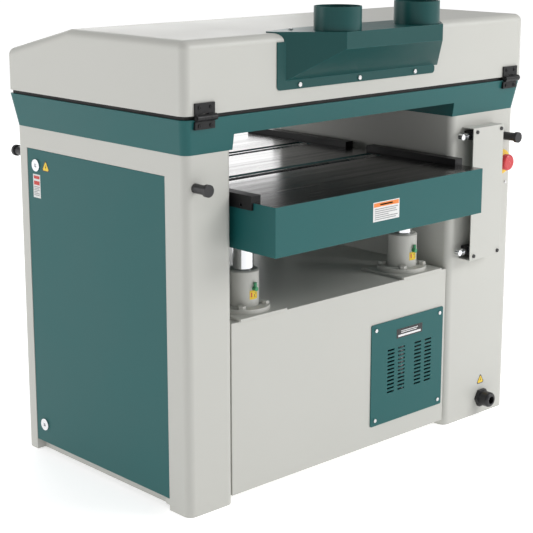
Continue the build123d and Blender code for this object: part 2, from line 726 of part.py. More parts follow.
def chip_breaker():
    """Swinging plate ahead of the cutterhead, with its pivot rod."""
    y, z = breaker_pivot()
    tip = CUTTER_Z - CUTTER_RADIUS
    outline = [(y - 9, z - 4), (y + 9, z - 4), (y + 4, tip + 8), (y - 8, tip), (y - 14, tip + 5)]
    plate = prism_x(Polygon(*outline, align=None), WORK_L + 2, WORK_R - 2)
    return plate + rod_x(y, z, 8, OPEN_L - CHEEK, OPEN_R + CHEEK)


def finger_pivot():
    """Depth and height of the kickback fingers' rod."""
    return (HALF_D - CHEEK_FAR_MARGIN - FINGER_ROD_INSET, CUTTER_Z + 35)


def kickback_fingers():
    """Row of pawls on one rod ahead of the infeed roller."""
    y, z = finger_pivot()
    tip = CUTTER_Z - CUTTER_RADIUS - 4
    outline = make_hull((Pos(y, z) * Circle(14)).edges() + (Pos(y - 2, tip + 4) * Circle(3)).edges())
    count = int((WORK_R - WORK_L) // 16)
    start = (WORK_L + WORK_R - (count - 1) * 16) / 2
    fingers = [prism_x(outline, start + 16 * i - 5, start + 16 * i + 5) for i in range(count)]
    return rod_x(y, z, 8, OPEN_L - CHEEK, OPEN_R + CHEEK) + fingers


# Table and lift


def table_casting():
    """Ribbed table with bed roller slots, post bosses and roller bearings."""
    body = block(TABLE_L, TABLE_R, -TABLE_HALF, TABLE_HALF, TABLE_BOTTOM, TABLE_TOP)
    inner = block(
        TABLE_L + TABLE_APRON,
        TABLE_R - TABLE_APRON,
        TABLE_APRON - TABLE_HALF,
        TABLE_HALF - TABLE_APRON,
        TABLE_BOTTOM - 1,
        PLATE_BOTTOM,
    )
    middle = (TABLE_L + TABLE_R) / 2
    half_rib = TABLE_RIB / 2
    rib_low = PLATE_BOTTOM - RIB_DEEP
    ribs = [block(middle - half_rib, middle + half_rib, -TABLE_HALF, TABLE_HALF, rib_low, TABLE_TOP)]
    for y in (RIB_INSET - TABLE_HALF, CUTTER_Y, TABLE_HALF - RIB_INSET):
        ribs.append(block(TABLE_L, TABLE_R, y - half_rib, y + half_rib, rib_low, TABLE_TOP))
    body -= inner - ribs
    roller_z = TABLE_TOP - BED_ROLLER + BED_ROLLER_RISE
    for x, y in posts():
        body += rod_z(x, y, BOSS_RADIUS, PLATE_BOTTOM - BOSS_HEIGHT, PLATE_BOTTOM + 1)
    for y in (OUTFEED_Y, INFEED_Y):
        body += block(TABLE_L, TABLE_R, y - 34, y + 34, roller_z - 20, PLATE_BOTTOM)
        slot_l = TABLE_L + BED_SLOT_INSET
        slot_r = TABLE_R - BED_SLOT_INSET
        body -= block(slot_l, slot_r, y - BED_SLOT_HALF, y + BED_SLOT_HALF, TABLE_BOTTOM - 1, TABLE_TOP + 1)
        body -= rod_x(y, roller_z, BED_JOURNAL + RUNNING, slot_l - 25, slot_r + 25)
    for x, y in posts():
        body -= rod_z(x, y, POST_RADIUS + RUNNING, TABLE_BOTTOM - 1, PLATE_BOTTOM)
    return body


def bed_roller(y):
    """Smooth roller in the table's slot, a hair above the table face."""
    z = TABLE_TOP - BED_ROLLER + BED_ROLLER_RISE
    slot_l = TABLE_L + BED_SLOT_INSET
    slot_r = TABLE_R - BED_SLOT_INSET
    roller = rod_x(y, z, BED_ROLLER, slot_l + 2, slot_r - 2)
    return roller + rod_x(y, z, BED_JOURNAL, slot_l - 24, slot_r + 24)


def rail_spans():
    """Start and end of the two rails along each table edge."""
    near = (RAIL_INSET_BACK - TABLE_HALF, RAIL_BREAK_BACK)
    far = (RAIL_BREAK_FRONT, TABLE_HALF - RAIL_INSET_FRONT)
    return near, far


def table_rails():
    """Four side rails bolted along the table's edges, with bolt holes."""
    rails = []
    for edge, side in ((TABLE_L, -1), (TABLE_R, 1)):
        for y0, y1 in rail_spans():
            inner = edge - side * RAIL_WIDE
            outer = edge + side * RAIL_THICK
            top = TABLE_TOP + RAIL_ABOVE
            rail = block(min(inner, outer), max(inner, outer), y0, y1, TABLE_TOP, top)
            rail += block(min(edge, outer), max(edge, outer), y0, y1, TABLE_TOP - RAIL_BELOW, top)
            for y in (y0 + RAIL_BOLT_INSET, y1 - RAIL_BOLT_INSET):
                low = min(edge, outer) - 1
                high = max(edge, outer) + 1
                rail -= rod_x(y, TABLE_TOP - RAIL_BELOW / 2, RAIL_BOLT, low, high)
            rails.append(rail)
    return group(rails)


def table_posts():
    """Hollow ground posts under the table, each with its flanged lift nut."""
    pieces = []
    for x, y in posts():
        post = rod_z(x, y, POST_RADIUS, POST_BOTTOM, PLATE_BOTTOM)
        pieces.append(post - rod_z(x, y, POST_BORE, POST_BOTTOM - 1, PLATE_BOTTOM - 6))
        nut = rod_z(x, y, POST_BORE - RUNNING, POST_BOTTOM, POST_BOTTOM + NUT_HEIGHT)
        nut += rod_z(x, y, POST_RADIUS - 2, POST_BOTTOM - NUT_FLANGE, POST_BOTTOM)
        low = POST_BOTTOM - NUT_FLANGE - 1
        high = POST_BOTTOM + NUT_HEIGHT + 1
        pieces.append(nut - rod_z(x, y, SCREW_RADIUS + RUNNING, low, high))
    return group(pieces)


def column_sleeves():
    """Flanged guide sleeves on the deck, each with its oiler."""
    pieces = []
    for x, y in posts():
        side = math.copysign(1, y)
        sleeve = rod_z(x, y, SLEEVE_RADIUS, SLEEVE_BOTTOM, SLEEVE_TOP)
        sleeve = chamfer(sleeve.edges().sort_by(Axis.Z)[-1], SLEEVE_CHAMFER)
        sleeve += rod_z(x, y, FLANGE_RADIUS, PAD_TOP, PAD_TOP + FLANGE_THICK)
        sleeve -= rod_z(x, y, POST_RADIUS + RUNNING, SLEEVE_BOTTOM - 1, SLEEVE_TOP + 1)
        for bx, by in bolt_places():
            if math.hypot(bx - x, by - y) < FLANGE_RADIUS:
                sleeve -= rod_z(bx, by, BOLT_RADIUS + RUNNING, PAD_TOP - 1, PAD_TOP + FLANGE_THICK + 1)
        pieces.append(sleeve)
        tip = y + side * (SLEEVE_RADIUS + OILER_OUT)
        oiler = rod_y(x, OILER_Z, OILER_RADIUS, min(y, tip), max(y, tip))
        oiler += rod_z(x, tip - side * OILER_OUT / 2, OILER_RADIUS - 1.5, OILER_Z, OILER_Z + OILER_NIPPLE)
        pieces.append(oiler - rod_z(x, y, SLEEVE_RADIUS, SLEEVE_BOTTOM, SLEEVE_TOP))
    return group(pieces)


def hex_bolt(x, y, head_z, shank_z):
    """Hexagon-head bolt pointing down."""
    head = Pos(x, y, head_z) * extrude(RegularPolygon(BOLT_HEAD, 6), BOLT_HEAD_HEIGHT)
    return head + rod_z(x, y, BOLT_RADIUS, shank_z, head_z)


def sleeve_bolts():
    """Bolts of the four sleeve flanges."""
    return group([hex_bolt(x, y, PAD_TOP + FLANGE_THICK, DECK_HEIGHT - DECK - 10) for x, y in bolt_places()])


def leadscrew(x, y):
    """Lift screw with its sprocket; the thread is left at its outside diameter."""
    screw = rod_z(x, y, SCREW_RADIUS, SCREW_FOOT, SCREW_TOP)
    return screw + Pos(x, y, LIFT_CHAIN_Z) * sprocket(LIFT_SPROCKET, LIFT_TEETH, SPROCKET_THICK)


def lift_drive_place():
    """Centre of the lift drive's sprocket: against the inside of the chain's infeed run."""
    return ((POST_X[0] + POST_X[1]) / 2, POST_Y[1])


def lift_gearmotor():
    """Worm gearbox and motor under the deck, on the infeed wall of the cabinet."""
    x, y = lift_drive_place()
    gearbox = block(x - 48, x + 48, y - 45, -FRONT - SHEET, LIFT_CHAIN_Z + 16, LIFT_CHAIN_Z + 96)
    motor = rod_z(x, y, 42, LIFT_CHAIN_Z + 96, DECK_HEIGHT - DECK - 30)
    bore = rod_z(x, y, LIFT_SHAFT + RUNNING, LIFT_CHAIN_Z + 15, LIFT_CHAIN_Z + 50)
    return gearbox + motor - bore


def lift_sprocket():
    """Worm gearbox output shaft with its chain sprocket."""
    x, y = lift_drive_place()
    shaft = rod_z(x, y, LIFT_SHAFT, LIFT_CHAIN_Z - 8, LIFT_CHAIN_Z + 49)
    return shaft + Pos(x, y, LIFT_CHAIN_Z) * sprocket(LIFT_SPROCKET, LIFT_TEETH, SPROCKET_THICK)


def motor():
    """Finned main motor on its wall bracket."""
    x1 = OPEN_R - SHEET - MOTOR_WALL_GAP
    x0 = x1 - MOTOR_LONG
    body = rod_x(CUTTER_Y, MOTOR_Z, MOTOR_RADIUS, x0, x1)
    for i in range(12):
        x = x0 + 30 + 12 * i
        groove = rod_x(CUTTER_Y, MOTOR_Z, MOTOR_RADIUS + 1, x, x + 7)
        body -= groove - rod_x(CUTTER_Y, MOTOR_Z, MOTOR_RADIUS - 7, x - 1, x + 8)
    foot = MOTOR_Z - MOTOR_RADIUS
    body += block(x0 + 30, x1 - 20, CUTTER_Y - 70, CUTTER_Y + 70, foot - 10, foot + 20)
    body += block(x0 + 60, x1 - 50, CUTTER_Y - 45, CUTTER_Y + 45, MOTOR_Z + 60, MOTOR_Z + MOTOR_RADIUS + 22)
    low = MOTOR_Z - MOTOR_RADIUS - 18
    body += block(x0 + 20, x1 + MOTOR_WALL_GAP, CUTTER_Y - 95, CUTTER_Y + 95, low, low + 8)
    wall = x1 + MOTOR_WALL_GAP
    body += block(wall - 6, wall, CUTTER_Y - 95, CUTTER_Y + 95, low, MOTOR_Z + MOTOR_RADIUS)
    body -= rod_x(CUTTER_Y, MOTOR_Z, MOTOR_SHAFT + RUNNING, x1 - 31, x1 + MOTOR_WALL_GAP + 1)
    return body


# Hood and dust hood


def hood_form(inset):
    """Hood's rounded outer form, or the same form drawn in by a wall."""
    y = FLARE_D - inset
    top = HOOD_TOP - inset
    crease = (FLARE_D - HOOD_SLOPE_RUN, top)
    far_top = (y, top - HOOD_SLOPE_DROP)
    outline = Polygon((-y, HOOD_BOTTOM), (-y, top), crease, far_top, (y, HOOD_BOTTOM), align=None)
    form = prism_x(outline, inset - FLARE_W, FLARE_W - inset)
    edges = [edge for edge in form.edges() if edge.center().Z > HOOD_BOTTOM + 1]
    return fillet(edges, HOOD_RADIUS - inset)


def hood():
    """Hollow hood, open below, with the opening that leads to the dust hood."""
    inner = hood_form(HOOD_WALL)
    skirt = rounded_column(
        HOOD_WALL - FLARE_W,
        FLARE_W - HOOD_WALL,
        FLARE_D - HOOD_WALL,
        HOOD_BOTTOM - 1,
        HOOD_BOTTOM + 20,
        HOOD_RADIUS - HOOD_WALL,
    )
    shell = hood_form(0) - inner - skirt
    half = DUST_FRONT_HALF + DUST_REACH - 12
    low = DUST_BOTTOM + 12
    wide = (DUST_CENTRE - half, DUST_CENTRE + half)
    shell -= block(*wide, -FLARE_D - 1, HOOD_RADIUS - 2 - FLARE_D, low, HOOD_TOP + 1)
    return shell


def dust_volume(inset):
    """Dust hood's tapered box, or the same box drawn in by its sheet."""
    slope = math.atan2(DUST_DROP - DUST_FRONT_HEIGHT, DUST_REACH)
    lift = inset / math.cos(slope)
    front = DUST_Y + inset
    back = HOOD_RADIUS - FLARE_D
    rate = math.tan(slope)
    at_front = HOOD_TOP - DUST_FRONT_HEIGHT + lift - inset * rate
    at_back = DUST_BOTTOM + lift - (HOOD_RADIUS * rate)
    side = Polygon((front, HOOD_TOP), (front, at_front), (back, at_back), (back, HOOD_TOP), align=None)
    low_half = DUST_FRONT_HALF - inset * (math.sqrt(2) - 1)
    high_half = low_half + back - front
    plan = Polygon(
        (DUST_CENTRE - low_half, front),
        (DUST_CENTRE + low_half, front),
        (DUST_CENTRE + high_half, back),
        (DUST_CENTRE - high_half, back),
        align=None,
    )
    wide = prism_x(side, DUST_CENTRE - high_half, DUST_CENTRE + high_half)
    return wide & (Pos(0, 0, DUST_BOTTOM - 40) * extrude(plan, DUST_DROP + 40))


def port_places():
    """Across places of the two dust ports."""
    return (DUST_CENTRE - PORT_SPACING / 2, DUST_CENTRE + PORT_SPACING / 2)


def dust_screw_places():
    """Across places of the lower flange's screws."""
    middle = DUST_CENTRE - 19
    return (middle - 182.5, middle, middle + 182.5)


def dust_hood():
    """Folded sheet chute with a top plate, a lower flange and two port holes."""
    outer = dust_volume(0)
    shell = outer - dust_volume(DUST_SHEET) - hood_form(0)
    half_face = DUST_FRONT_HALF + DUST_REACH
    back = HOOD_RADIUS - FLARE_D
    tip = DUST_TOP_BACK - DUST_TIP_BACK
    corners = [
        (DUST_FRONT_HALF, DUST_Y),
        (half_face + HOOD_RADIUS, back),
        (DUST_TIP_HALF, tip),
        (DUST_TOP_HALF, DUST_TOP_BACK),
    ]
    corners += [(-x, y) for x, y in reversed(corners)]
    top_plan = Pos(DUST_CENTRE, 0) * Polygon(*corners, align=None)
    shell += Pos(0, 0, HOOD_TOP) * extrude(top_plan, DUST_SHEET, dir=(0, 0, 1))
    face = -FLARE_D
    low = DUST_BOTTOM - DUST_FLANGE
    high = DUST_BOTTOM + DUST_SHEET
    left = DUST_CENTRE - half_face - 21
    right = DUST_CENTRE + half_face - 12
    flange = Pos((left + right) / 2, (low + high) / 2) * RectangleRounded(right - left, high - low, 8)
    shell += Pos(0, face, 0) * extrude(Plane.XZ * flange, DUST_SHEET)
    side = DUST_CENTRE - half_face + DUST_SHEET + 0.5
    shell += block(left, side, face - DUST_SHEET, face, DUST_BOTTOM - 6, HOOD_TOP - HOOD_RADIUS)
    for x in port_places():
        shell -= rod_z(x, PORT_Y, PORT_RADIUS - PORT_WALL, HOOD_TOP - 1, HOOD_TOP + DUST_SHEET + 1)
    for x in dust_screw_places():
        shell -= rod_y(x, DUST_BOTTOM - DUST_FLANGE / 2, 2.5 + RUNNING, face - DUST_SHEET - 1, face + 1)
    return shell


def dust_ports():
    """Two round hose stubs with rolled rims."""
    ports = []
    base = HOOD_TOP + DUST_SHEET
    for x in port_places():
        tube = rod_z(x, PORT_Y, PORT_RADIUS, base, base + PORT_HEIGHT)
        ports.append(tube - rod_z(x, PORT_Y, PORT_RADIUS - PORT_WALL, base - 1, base + PORT_HEIGHT + 1))
    return group(ports)


def dust_hood_screws():
    """Round-head screws along the lower flange and on the top flange."""
    z = DUST_BOTTOM - DUST_FLANGE / 2
    face = -FLARE_D - DUST_SHEET
    screws = []
    for x in dust_screw_places():
        head = rod_y(x, z, 5, face - 3, face) - block(x - 5, x + 5, face - 4, face - 2, z - 0.6, z + 0.6)
        screws.append(head + rod_y(x, z, 2.5, face, -FLARE_D))
    top = HOOD_TOP + DUST_SHEET
    y = DUST_TOP_BACK - DUST_TOP_SCREW_BACK
    for x in (DUST_CENTRE - DUST_TOP_SCREW_HALF, DUST_CENTRE + DUST_TOP_SCREW_HALF):
        head = rod_z(x, y, 5, top, top + 3)
        screws.append(head - block(x - 5, x + 5, y - 0.6, y + 0.6, top + 2, top + 4))
    return group(screws)


def knuckles(x, spans):
    """Hinge barrels about the hood's axis."""
    return [rod_x(HINGE_Y, HINGE_Z, KNUCKLE, x + x0, x + x1) for x0, x1 in spans]


def hinge_spans(moving):
    """Barrel spans of one leaf, measured from the hinge's middle."""
    third = HINGE_WIDE / 6
    if moving:
        return [(-HINGE_WIDE / 2, -third - KNUCKLE_GAP), (third + KNUCKLE_GAP, HINGE_WIDE / 2)]
    return [(-third, third)]


def hinge_base_leaves():
    """Lower hinge leaves on the head's sloping face, each with its pin."""
    pieces = []
    for x in (-HINGE_X, HINGE_X):
        y0 = -FLARE_D - HINGE_THICK
        high = HEAD_TOP - HINGE_MARGIN
        half = HINGE_WIDE / 2
        leaf = block(x - half, x + half, y0, HEAD_FLARE - FLARE_D, high - HINGE_LOWER_TALL, high)
        leaf -= head_outline(COLUMN_HEIGHT, HEAD_TOP)
        third = HINGE_WIDE / 6
        leaf += block(x - third, x + third, y0, -FLARE_D - 0.5, high - 1, HINGE_Z)
        leaf += knuckles(x, hinge_spans(False))
        leaf -= rod_x(HINGE_Y, HINGE_Z, KNUCKLE_PIN, x - HINGE_WIDE, x + HINGE_WIDE)
        pieces.append(leaf)
        pin = rod_x(HINGE_Y, HINGE_Z, KNUCKLE_PIN, x - HINGE_WIDE / 2 - 2, x + HINGE_WIDE / 2 + 2)
        pieces.append(pin)
    px, py = door_pivot()
    for z0, z1 in ((DOOR_BOTTOM, DOOR_BOTTOM + 18), (DOOR_TOP - 18, DOOR_TOP)):
        pieces.append(rod_z(px, py, 2, z0, z1))
    return group(pieces)


def hinge_hood_leaves():
    """Upper hinge leaves on the hood."""
    pieces = []
    for x in (-HINGE_X, HINGE_X):
        y0 = -FLARE_D - HINGE_THICK
        low = HOOD_BOTTOM + HINGE_MARGIN
        leaf = block(x - HINGE_WIDE / 2, x + HINGE_WIDE / 2, y0, -FLARE_D, low, low + HINGE_UPPER_TALL)
        for x0, x1 in hinge_spans(True):
            leaf += block(x + x0, x + x1, y0, -FLARE_D - 0.5, HINGE_Z, low + 1)
        leaf += knuckles(x, hinge_spans(True))
        leaf -= rod_x(HINGE_Y, HINGE_Z, KNUCKLE_PIN + RUNNING, x - HINGE_WIDE, x + HINGE_WIDE)
        pieces.append(leaf)
    return group(pieces)


def hood_gasket():
    """Dark seal between the head and the hood."""
    z1 = HOOD_BOTTOM - 0.5
    outer = rounded_column(6 - FLARE_W, FLARE_W - 6, FLARE_D - 6, HEAD_TOP, z1, CORNER - 6)
    return outer - rounded_column(18 - FLARE_W, FLARE_W - 18, FLARE_D - 18, HEAD_TOP - 1, z1 + 1, CORNER - 14)


# Panels, switches and fittings


def vent_panel():
    """Motor compartment vent: plate with columns of slots."""
    x0 = OPEN_R - VENT_LEFT_INSET - VENT_WIDE
    outline = Pos(x0 + VENT_WIDE / 2, VENT_BOTTOM + VENT_TALL / 2) * RectangleRounded(VENT_WIDE, VENT_TALL, 4)
    middle = x0 + VENT_WIDE / 2 + 7
    slots = []
    for x in (middle - 66.2, middle - 29.2, middle + 29.2, middle + 66.2):
        for top in (VENT_BOTTOM + 176.8, VENT_BOTTOM + 120.8):
            for row in range(SLOT_ROWS):
                slots.append(Pos(x, top - row * SLOT_PITCH) * SlotOverall(SLOT_LONG, SLOT_TALL))
    screws = [Pos(x, z) * Circle(2.5 + RUNNING) for x, z in vent_screws()]
    return Pos(0, FRONT, 0) * extrude(Plane.XZ * (outline - slots - screws), VENT_THICK)


def vent_screws():
    """Screw centres of the vent panel."""
    x0 = OPEN_R - VENT_LEFT_INSET - VENT_WIDE
    heights = (VENT_BOTTOM + 14, VENT_BOTTOM + VENT_TALL - 14)
    return [(x, z) for x in (x0 + 14, x0 + VENT_WIDE - 14) for z in heights]


def switch_cover_box():
    """Left, right, bottom and top of the limit switch cover."""
    left = OPEN_R + COVER_LEFT
    return (left, left + COVER_WIDE, COVER_BOTTOM, COVER_BOTTOM + COVER_TALL)


def switch_cover_screws():
    """Screw centres of the limit switch cover."""
    left, right, bottom, top = switch_cover_box()
    across = (left + COVER_SCREW_LEFT, right - COVER_SCREW_RIGHT)
    return [(x, z) for x in across for z in (bottom + COVER_SCREW_EDGE, top - COVER_SCREW_EDGE)]


def limit_switch_cover():
    """Shallow folded cover, open on the side that faces the table."""
    left, right, bottom, top = switch_cover_box()
    front = -HALF_D - COVER_DEEP
    cover = block(left, right, front, -HALF_D, bottom, top)
    cover -= block(left - 1, right - 2, front + 2, 1 - HALF_D, bottom + 2, top - 2)
    for x, z in switch_cover_screws():
        cover -= rod_y(x, z, 2.5 + RUNNING, front - 1, front + 3)
    return cover


def switch_heights():
    """Heights of the two limit switches."""
    left, right, bottom, top = switch_cover_box()
    return (top - SWITCH_INSET_TOP, bottom + SWITCH_INSET_BOTTOM)


def limit_switches():
    """Two limit switch bodies on the column face, heads pointing at the table."""
    left = switch_cover_box()[0]
    y = -HALF_D - COVER_DEEP / 2
    pieces = []
    for z in switch_heights():
        body = block(left + 8, left + 48, y - 13, -HALF_D, z - 10, z + 10)
        body += rod_x(y, z, 8, left - 8, left + 9)
        pieces.append(body - rod_x(y, z, 4 + RUNNING, left - 9, left + 12))
    return group(pieces)


def switch_plunger(z):
    """Limit switch plunger with a cross roller at its tip."""
    left = switch_cover_box()[0]
    y = -HALF_D - COVER_DEEP / 2
    tip = left - 8 - SWITCH_STROKE - 10
    return rod_x(y, z, 4, tip, left + 5) + rod_y(tip, z, 7, y - 6, y + 6)


def estop_base():
    """Yellow collar of the emergency stop on the column face."""
    x = HALF_W - ESTOP_INSET
    collar = -HALF_D - ESTOP_COLLAR_THICK
    base = rod_y(x, ESTOP_Z, ESTOP_COLLAR, collar, -HALF_D)
    base += rod_y(x, ESTOP_Z, ESTOP_NECK, -HALF_D - ESTOP_NECK_OUT, collar)
    return base - rod_y(x, ESTOP_Z, ESTOP_STEM + RUNNING, -HALF_D - ESTOP_NECK_OUT - 1, -HALF_D)


def estop_button():
    """Mushroom button with its stem."""
    x = HALF_W - ESTOP_INSET
    cap = rod_y(x, ESTOP_Z, ESTOP_CAP, -HALF_D - ESTOP_CAP_OUT, -HALF_D - ESTOP_CAP_BACK)
    cap = fillet(cap.edges().sort_by(Axis.Y)[0], 5)
    return cap + rod_y(x, ESTOP_Z, ESTOP_STEM, -HALF_D - ESTOP_CAP_BACK, -HALF_D - 5)


def cable_gland():
    """Strain relief with a hexagon, a domed nut and a clear bore."""
    x = HALF_W - GLAND_INSET
    face = -HALF_D
    hexagon = Pos(x, face, GLAND_Z) * Rot(90, 0, 0) * extrude(RegularPolygon(GLAND_HEX, 6), GLAND_HEX_THICK)
    dome = rod_y(x, GLAND_Z, GLAND_DOME, face - GLAND_OUT, face - GLAND_HEX_THICK)
    dome = fillet(dome.edges().sort_by(Axis.Y)[0], 7)
    thread = rod_y(x, GLAND_Z, GLAND_THREAD, face, face + GLAND_IN)
    return hexagon + dome + thread - rod_y(x, GLAND_Z, GLAND_BORE, face - GLAND_OUT - 1, face + GLAND_IN + 1)


def panel_screws():
    """Screws of the vent panel, the limit switch cover and the belt column cover."""
    screws = []
    vent = FRONT - VENT_THICK
    for x, z in vent_screws():
        screws.append(rod_y(x, z, 4.5, vent - 2.5, vent) + rod_y(x, z, 2.5, vent, FRONT))
    cover = -HALF_D - COVER_DEEP
    for x, z in switch_cover_screws():
        screws.append(rod_y(x, z, 4.5, cover - 2.5, cover) + rod_y(x, z, 2.5, cover, cover + 2))
    for x, y, z in cover_screws():
        screws.append(rod_x(y, z, 6, x + 2, x + 5) + rod_x(y, z, 3, x - SHEET, x + 2))
    return group(screws)


def lifting_bar(x, side):
    """Pull-out lifting bar with a grip flange at its tip."""
    face = side * HALF_D
    tip = face + side * BAR_OUT
    inner = face - side * (BAR_LONG - 6)
    bar = rod_y(x, BAR_Z, BAR_RADIUS, min(inner, tip), max(inner, tip))
    cap = tip - side * BAR_KNOB_THICK
    return bar + rod_y(x, BAR_Z, BAR_KNOB, min(cap, tip), max(cap, tip))


def control_box():
    """Operator's box on the infeed face, with two button bores."""
    left = OPEN_R + CONTROL_LEFT
    top = CONTROL_BOTTOM + CONTROL_TALL
    box = block(left, left + CONTROL_WIDE, HALF_D, HALF_D + CONTROL_DEEP, CONTROL_BOTTOM, top)
    box = fillet(box.edges().filter_by(Axis.Y), 6)
    for x, z in button_places():
        box -= rod_y(x, z, 11 + RUNNING, HALF_D + CONTROL_DEEP - 18, HALF_D + CONTROL_DEEP + 1)
    return box


def button_places():
    """Start and stop button centres."""
    left = OPEN_R + CONTROL_LEFT
    z = CONTROL_BOTTOM + CONTROL_TALL / 2
    return [(left + CONTROL_WIDE / 3, z), (left + 2 * CONTROL_WIDE / 3, z)]


def push_button(x, z):
    """Flat push button, standing 6 mm proud."""
    face = HALF_D + CONTROL_DEEP
    button = rod_y(x, z, 11, face - 10, face + 6)
    return fillet(button.edges().sort_by(Axis.Y)[-1], 2)


NODES = {
    "base_frame": base_frame(),
    "base_cabinet": base_cabinet(),
    "left_housing": left_housing(),
    "right_housing": right_housing(),
    "right_cover": right_cover(),
    "left_door": left_door(),
    "door_lock_upper": door_lock(lock_heights()[0]),
    "door_lock_lower": door_lock(lock_heights()[1]),
    "head_frame": head_frame(),
    "bearing_blocks": bearing_blocks(),
    "cutterhead": cutterhead(),
    "cutterhead_knives": cutterhead_knives(),
    "cutterhead_pulley": cutterhead_pulley(),
    "motor_pulley": motor_pulley(),
    "drive_belts": drive_belts(),
    "motor": motor(),
    "infeed_roller": infeed_roller(),
    "outfeed_roller": outfeed_roller(),
    "feed_gearmotor": feed_gearmotor(),
    "drive_chains": drive_chains(),
    "pressure_bar": pressure_bar(),
    "chip_breaker": chip_breaker(),
    "kickback_fingers": kickback_fingers(),
    "table_casting": table_casting(),
    "table_rails": table_rails(),
    "table_posts": table_posts(),
    "bed_roller_outfeed": bed_roller(OUTFEED_Y),
    "bed_roller_infeed": bed_roller(INFEED_Y),
    "column_sleeves": column_sleeves(),
    "sleeve_bolts": sleeve_bolts(),
    "lift_gearmotor": lift_gearmotor(),
    "lift_sprocket": lift_sprocket(),
    "hood": hood(),
    "hood_gasket": hood_gasket(),
    "dust_hood": dust_hood(),
    "dust_ports": dust_ports(),
    "dust_hood_screws": dust_hood_screws(),
    "hinge_base_leaves": hinge_base_leaves(),
    "hinge_hood_leaves": hinge_hood_leaves(),
    "vent_panel": vent_panel(),
    "limit_switch_cover": limit_switch_cover(),
    "limit_switches": limit_switches(),
    "switch_plunger_upper": switch_plunger(switch_heights()[0]),
    "switch_plunger_lower": switch_plunger(switch_heights()[1]),
    "estop_base": estop_base(),
    "estop_button": estop_button(),
    "cable_gland": cable_gland(),
    "panel_screws": panel_screws(),
    "control_box": control_box(),
    "start_button": push_button(*button_places()[0]),
    "stop_button": push_button(*button_places()[1]),
}
CORNERS = ("outfeed_left", "infeed_left", "outfeed_right", "infeed_right")
for corner, (post_x, post_y) in zip(CORNERS, posts()):
    NODES["leadscrew_" + corner] = leadscrew(post_x, post_y)
for corner, bar_x, bar_side in bar_places():
    NODES["lifting_bar_" + corner] = lifting_bar(bar_x, bar_side)

os.makedirs("parts", exist_ok=True)
for name, shape in NODES.items():
    export_step(shape, "parts/" + name + ".step")
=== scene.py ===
import json
import math

import bmesh
import bpy
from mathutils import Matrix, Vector


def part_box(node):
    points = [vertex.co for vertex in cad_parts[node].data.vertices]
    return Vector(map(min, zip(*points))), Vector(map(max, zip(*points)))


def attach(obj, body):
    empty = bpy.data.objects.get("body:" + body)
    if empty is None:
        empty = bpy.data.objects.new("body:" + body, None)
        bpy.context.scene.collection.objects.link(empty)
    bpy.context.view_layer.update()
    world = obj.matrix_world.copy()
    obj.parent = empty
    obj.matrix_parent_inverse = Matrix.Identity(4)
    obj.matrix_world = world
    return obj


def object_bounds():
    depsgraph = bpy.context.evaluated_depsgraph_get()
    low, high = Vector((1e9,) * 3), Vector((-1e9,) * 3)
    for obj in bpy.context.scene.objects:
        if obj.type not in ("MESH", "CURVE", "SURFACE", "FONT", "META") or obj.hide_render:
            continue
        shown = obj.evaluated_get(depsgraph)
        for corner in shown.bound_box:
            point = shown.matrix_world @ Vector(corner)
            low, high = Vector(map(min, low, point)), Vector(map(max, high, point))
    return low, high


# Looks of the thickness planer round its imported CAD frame.
# Metres, +Z up. -Y is the outfeed face with the dust hood, +Y the infeed face with the control box.
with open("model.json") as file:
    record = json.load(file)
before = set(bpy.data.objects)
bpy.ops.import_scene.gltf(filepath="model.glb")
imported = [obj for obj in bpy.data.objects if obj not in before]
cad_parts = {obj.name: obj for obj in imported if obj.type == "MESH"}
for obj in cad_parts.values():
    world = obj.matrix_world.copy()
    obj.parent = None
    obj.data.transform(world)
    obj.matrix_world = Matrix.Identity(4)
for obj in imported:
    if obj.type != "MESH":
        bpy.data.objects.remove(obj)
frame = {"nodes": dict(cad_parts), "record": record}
CAD_LOW, CAD_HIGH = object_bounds()
MM = 0.001

# Camera and studio
CAMERA_PLACE = (-2.344, -2.475, 1.259)
CAMERA_TURN = 43.1
CAMERA_DROP = 12.9
CAMERA_LENS = 97.4
CAMERA_SHIFT = -0.056
CAMERA_REACH = 200.0
FLOOR_SIZE = 60.0
FLOOR_GAP = 0.2 * MM
FLOOR_GLOW = 0.55
WORLD_LIGHT = 0.42
LIGHT_TARGET = (0.0, 0.0, 0.5)
# Softboxes: place, width, height, power
SOFTBOXES = {
    "key": ((2.8, -3.6, 2.6), 2.5, 2.0, 104.0),
    "side": ((-3.6, 2.6, 1.6), 2.5, 2.2, 34.0),
    "back": ((2.2, 4.2, 2.0), 3.0, 2.2, 40.0),
}
SKY_LIGHT = 0.5
SKY_SPREAD = 70
SKY_TILT = (-12, 4)

# Finishes, and the colour sockets of a Mix node
MIX_A = 6
MIX_B = 7
MIX_OUT = 2
COAT_ROUGHNESS = 0.12
CLOUD_DETAIL = 6.0
CLOUD_ROUGHNESS = 0.6
CLOUD_SPAN = (0.3, 0.7)
PIT_DETAIL = 2.0
EDGE_RADIUS = 1.2 * MM
# Painted highlight along edges: where it starts and ends on the normal difference, and how much it lifts the
# colour
EDGE_HIGHLIGHT_SPAN = (0.99, 0.80)
EDGE_HIGHLIGHT_LIFT = 0.01
ALONG_X = (0.02, 1, 1)
ROUND_X = (1, 0.02, 0.02)
ALONG_Z = (1, 1, 0.02)

# Faces picked out on the CAD nodes
TABLE_SKIN = 0.5 * MM
TABLE_APRON = 13 * MM
COVER_SCREW_PROUD = 3 * MM
SIDE_SCREW_BAND = 20 * MM
SLEEVE_RADIUS = 35 * MM
SLEEVE_SKIN = 0.3 * MM
OILER_RISE = 15 * MM
SWITCH_NOSE = 7.9 * MM

# Labels and signs, in millimetres: places on a face are (across, up), sizes are (width, height)
DOOR_SIGN_AT = (-189, 688)
DOOR_SIGN_SIZE = 15
GLAND_SIGN_AT = (434, 88)
GLAND_SIGN_SIZE = 14
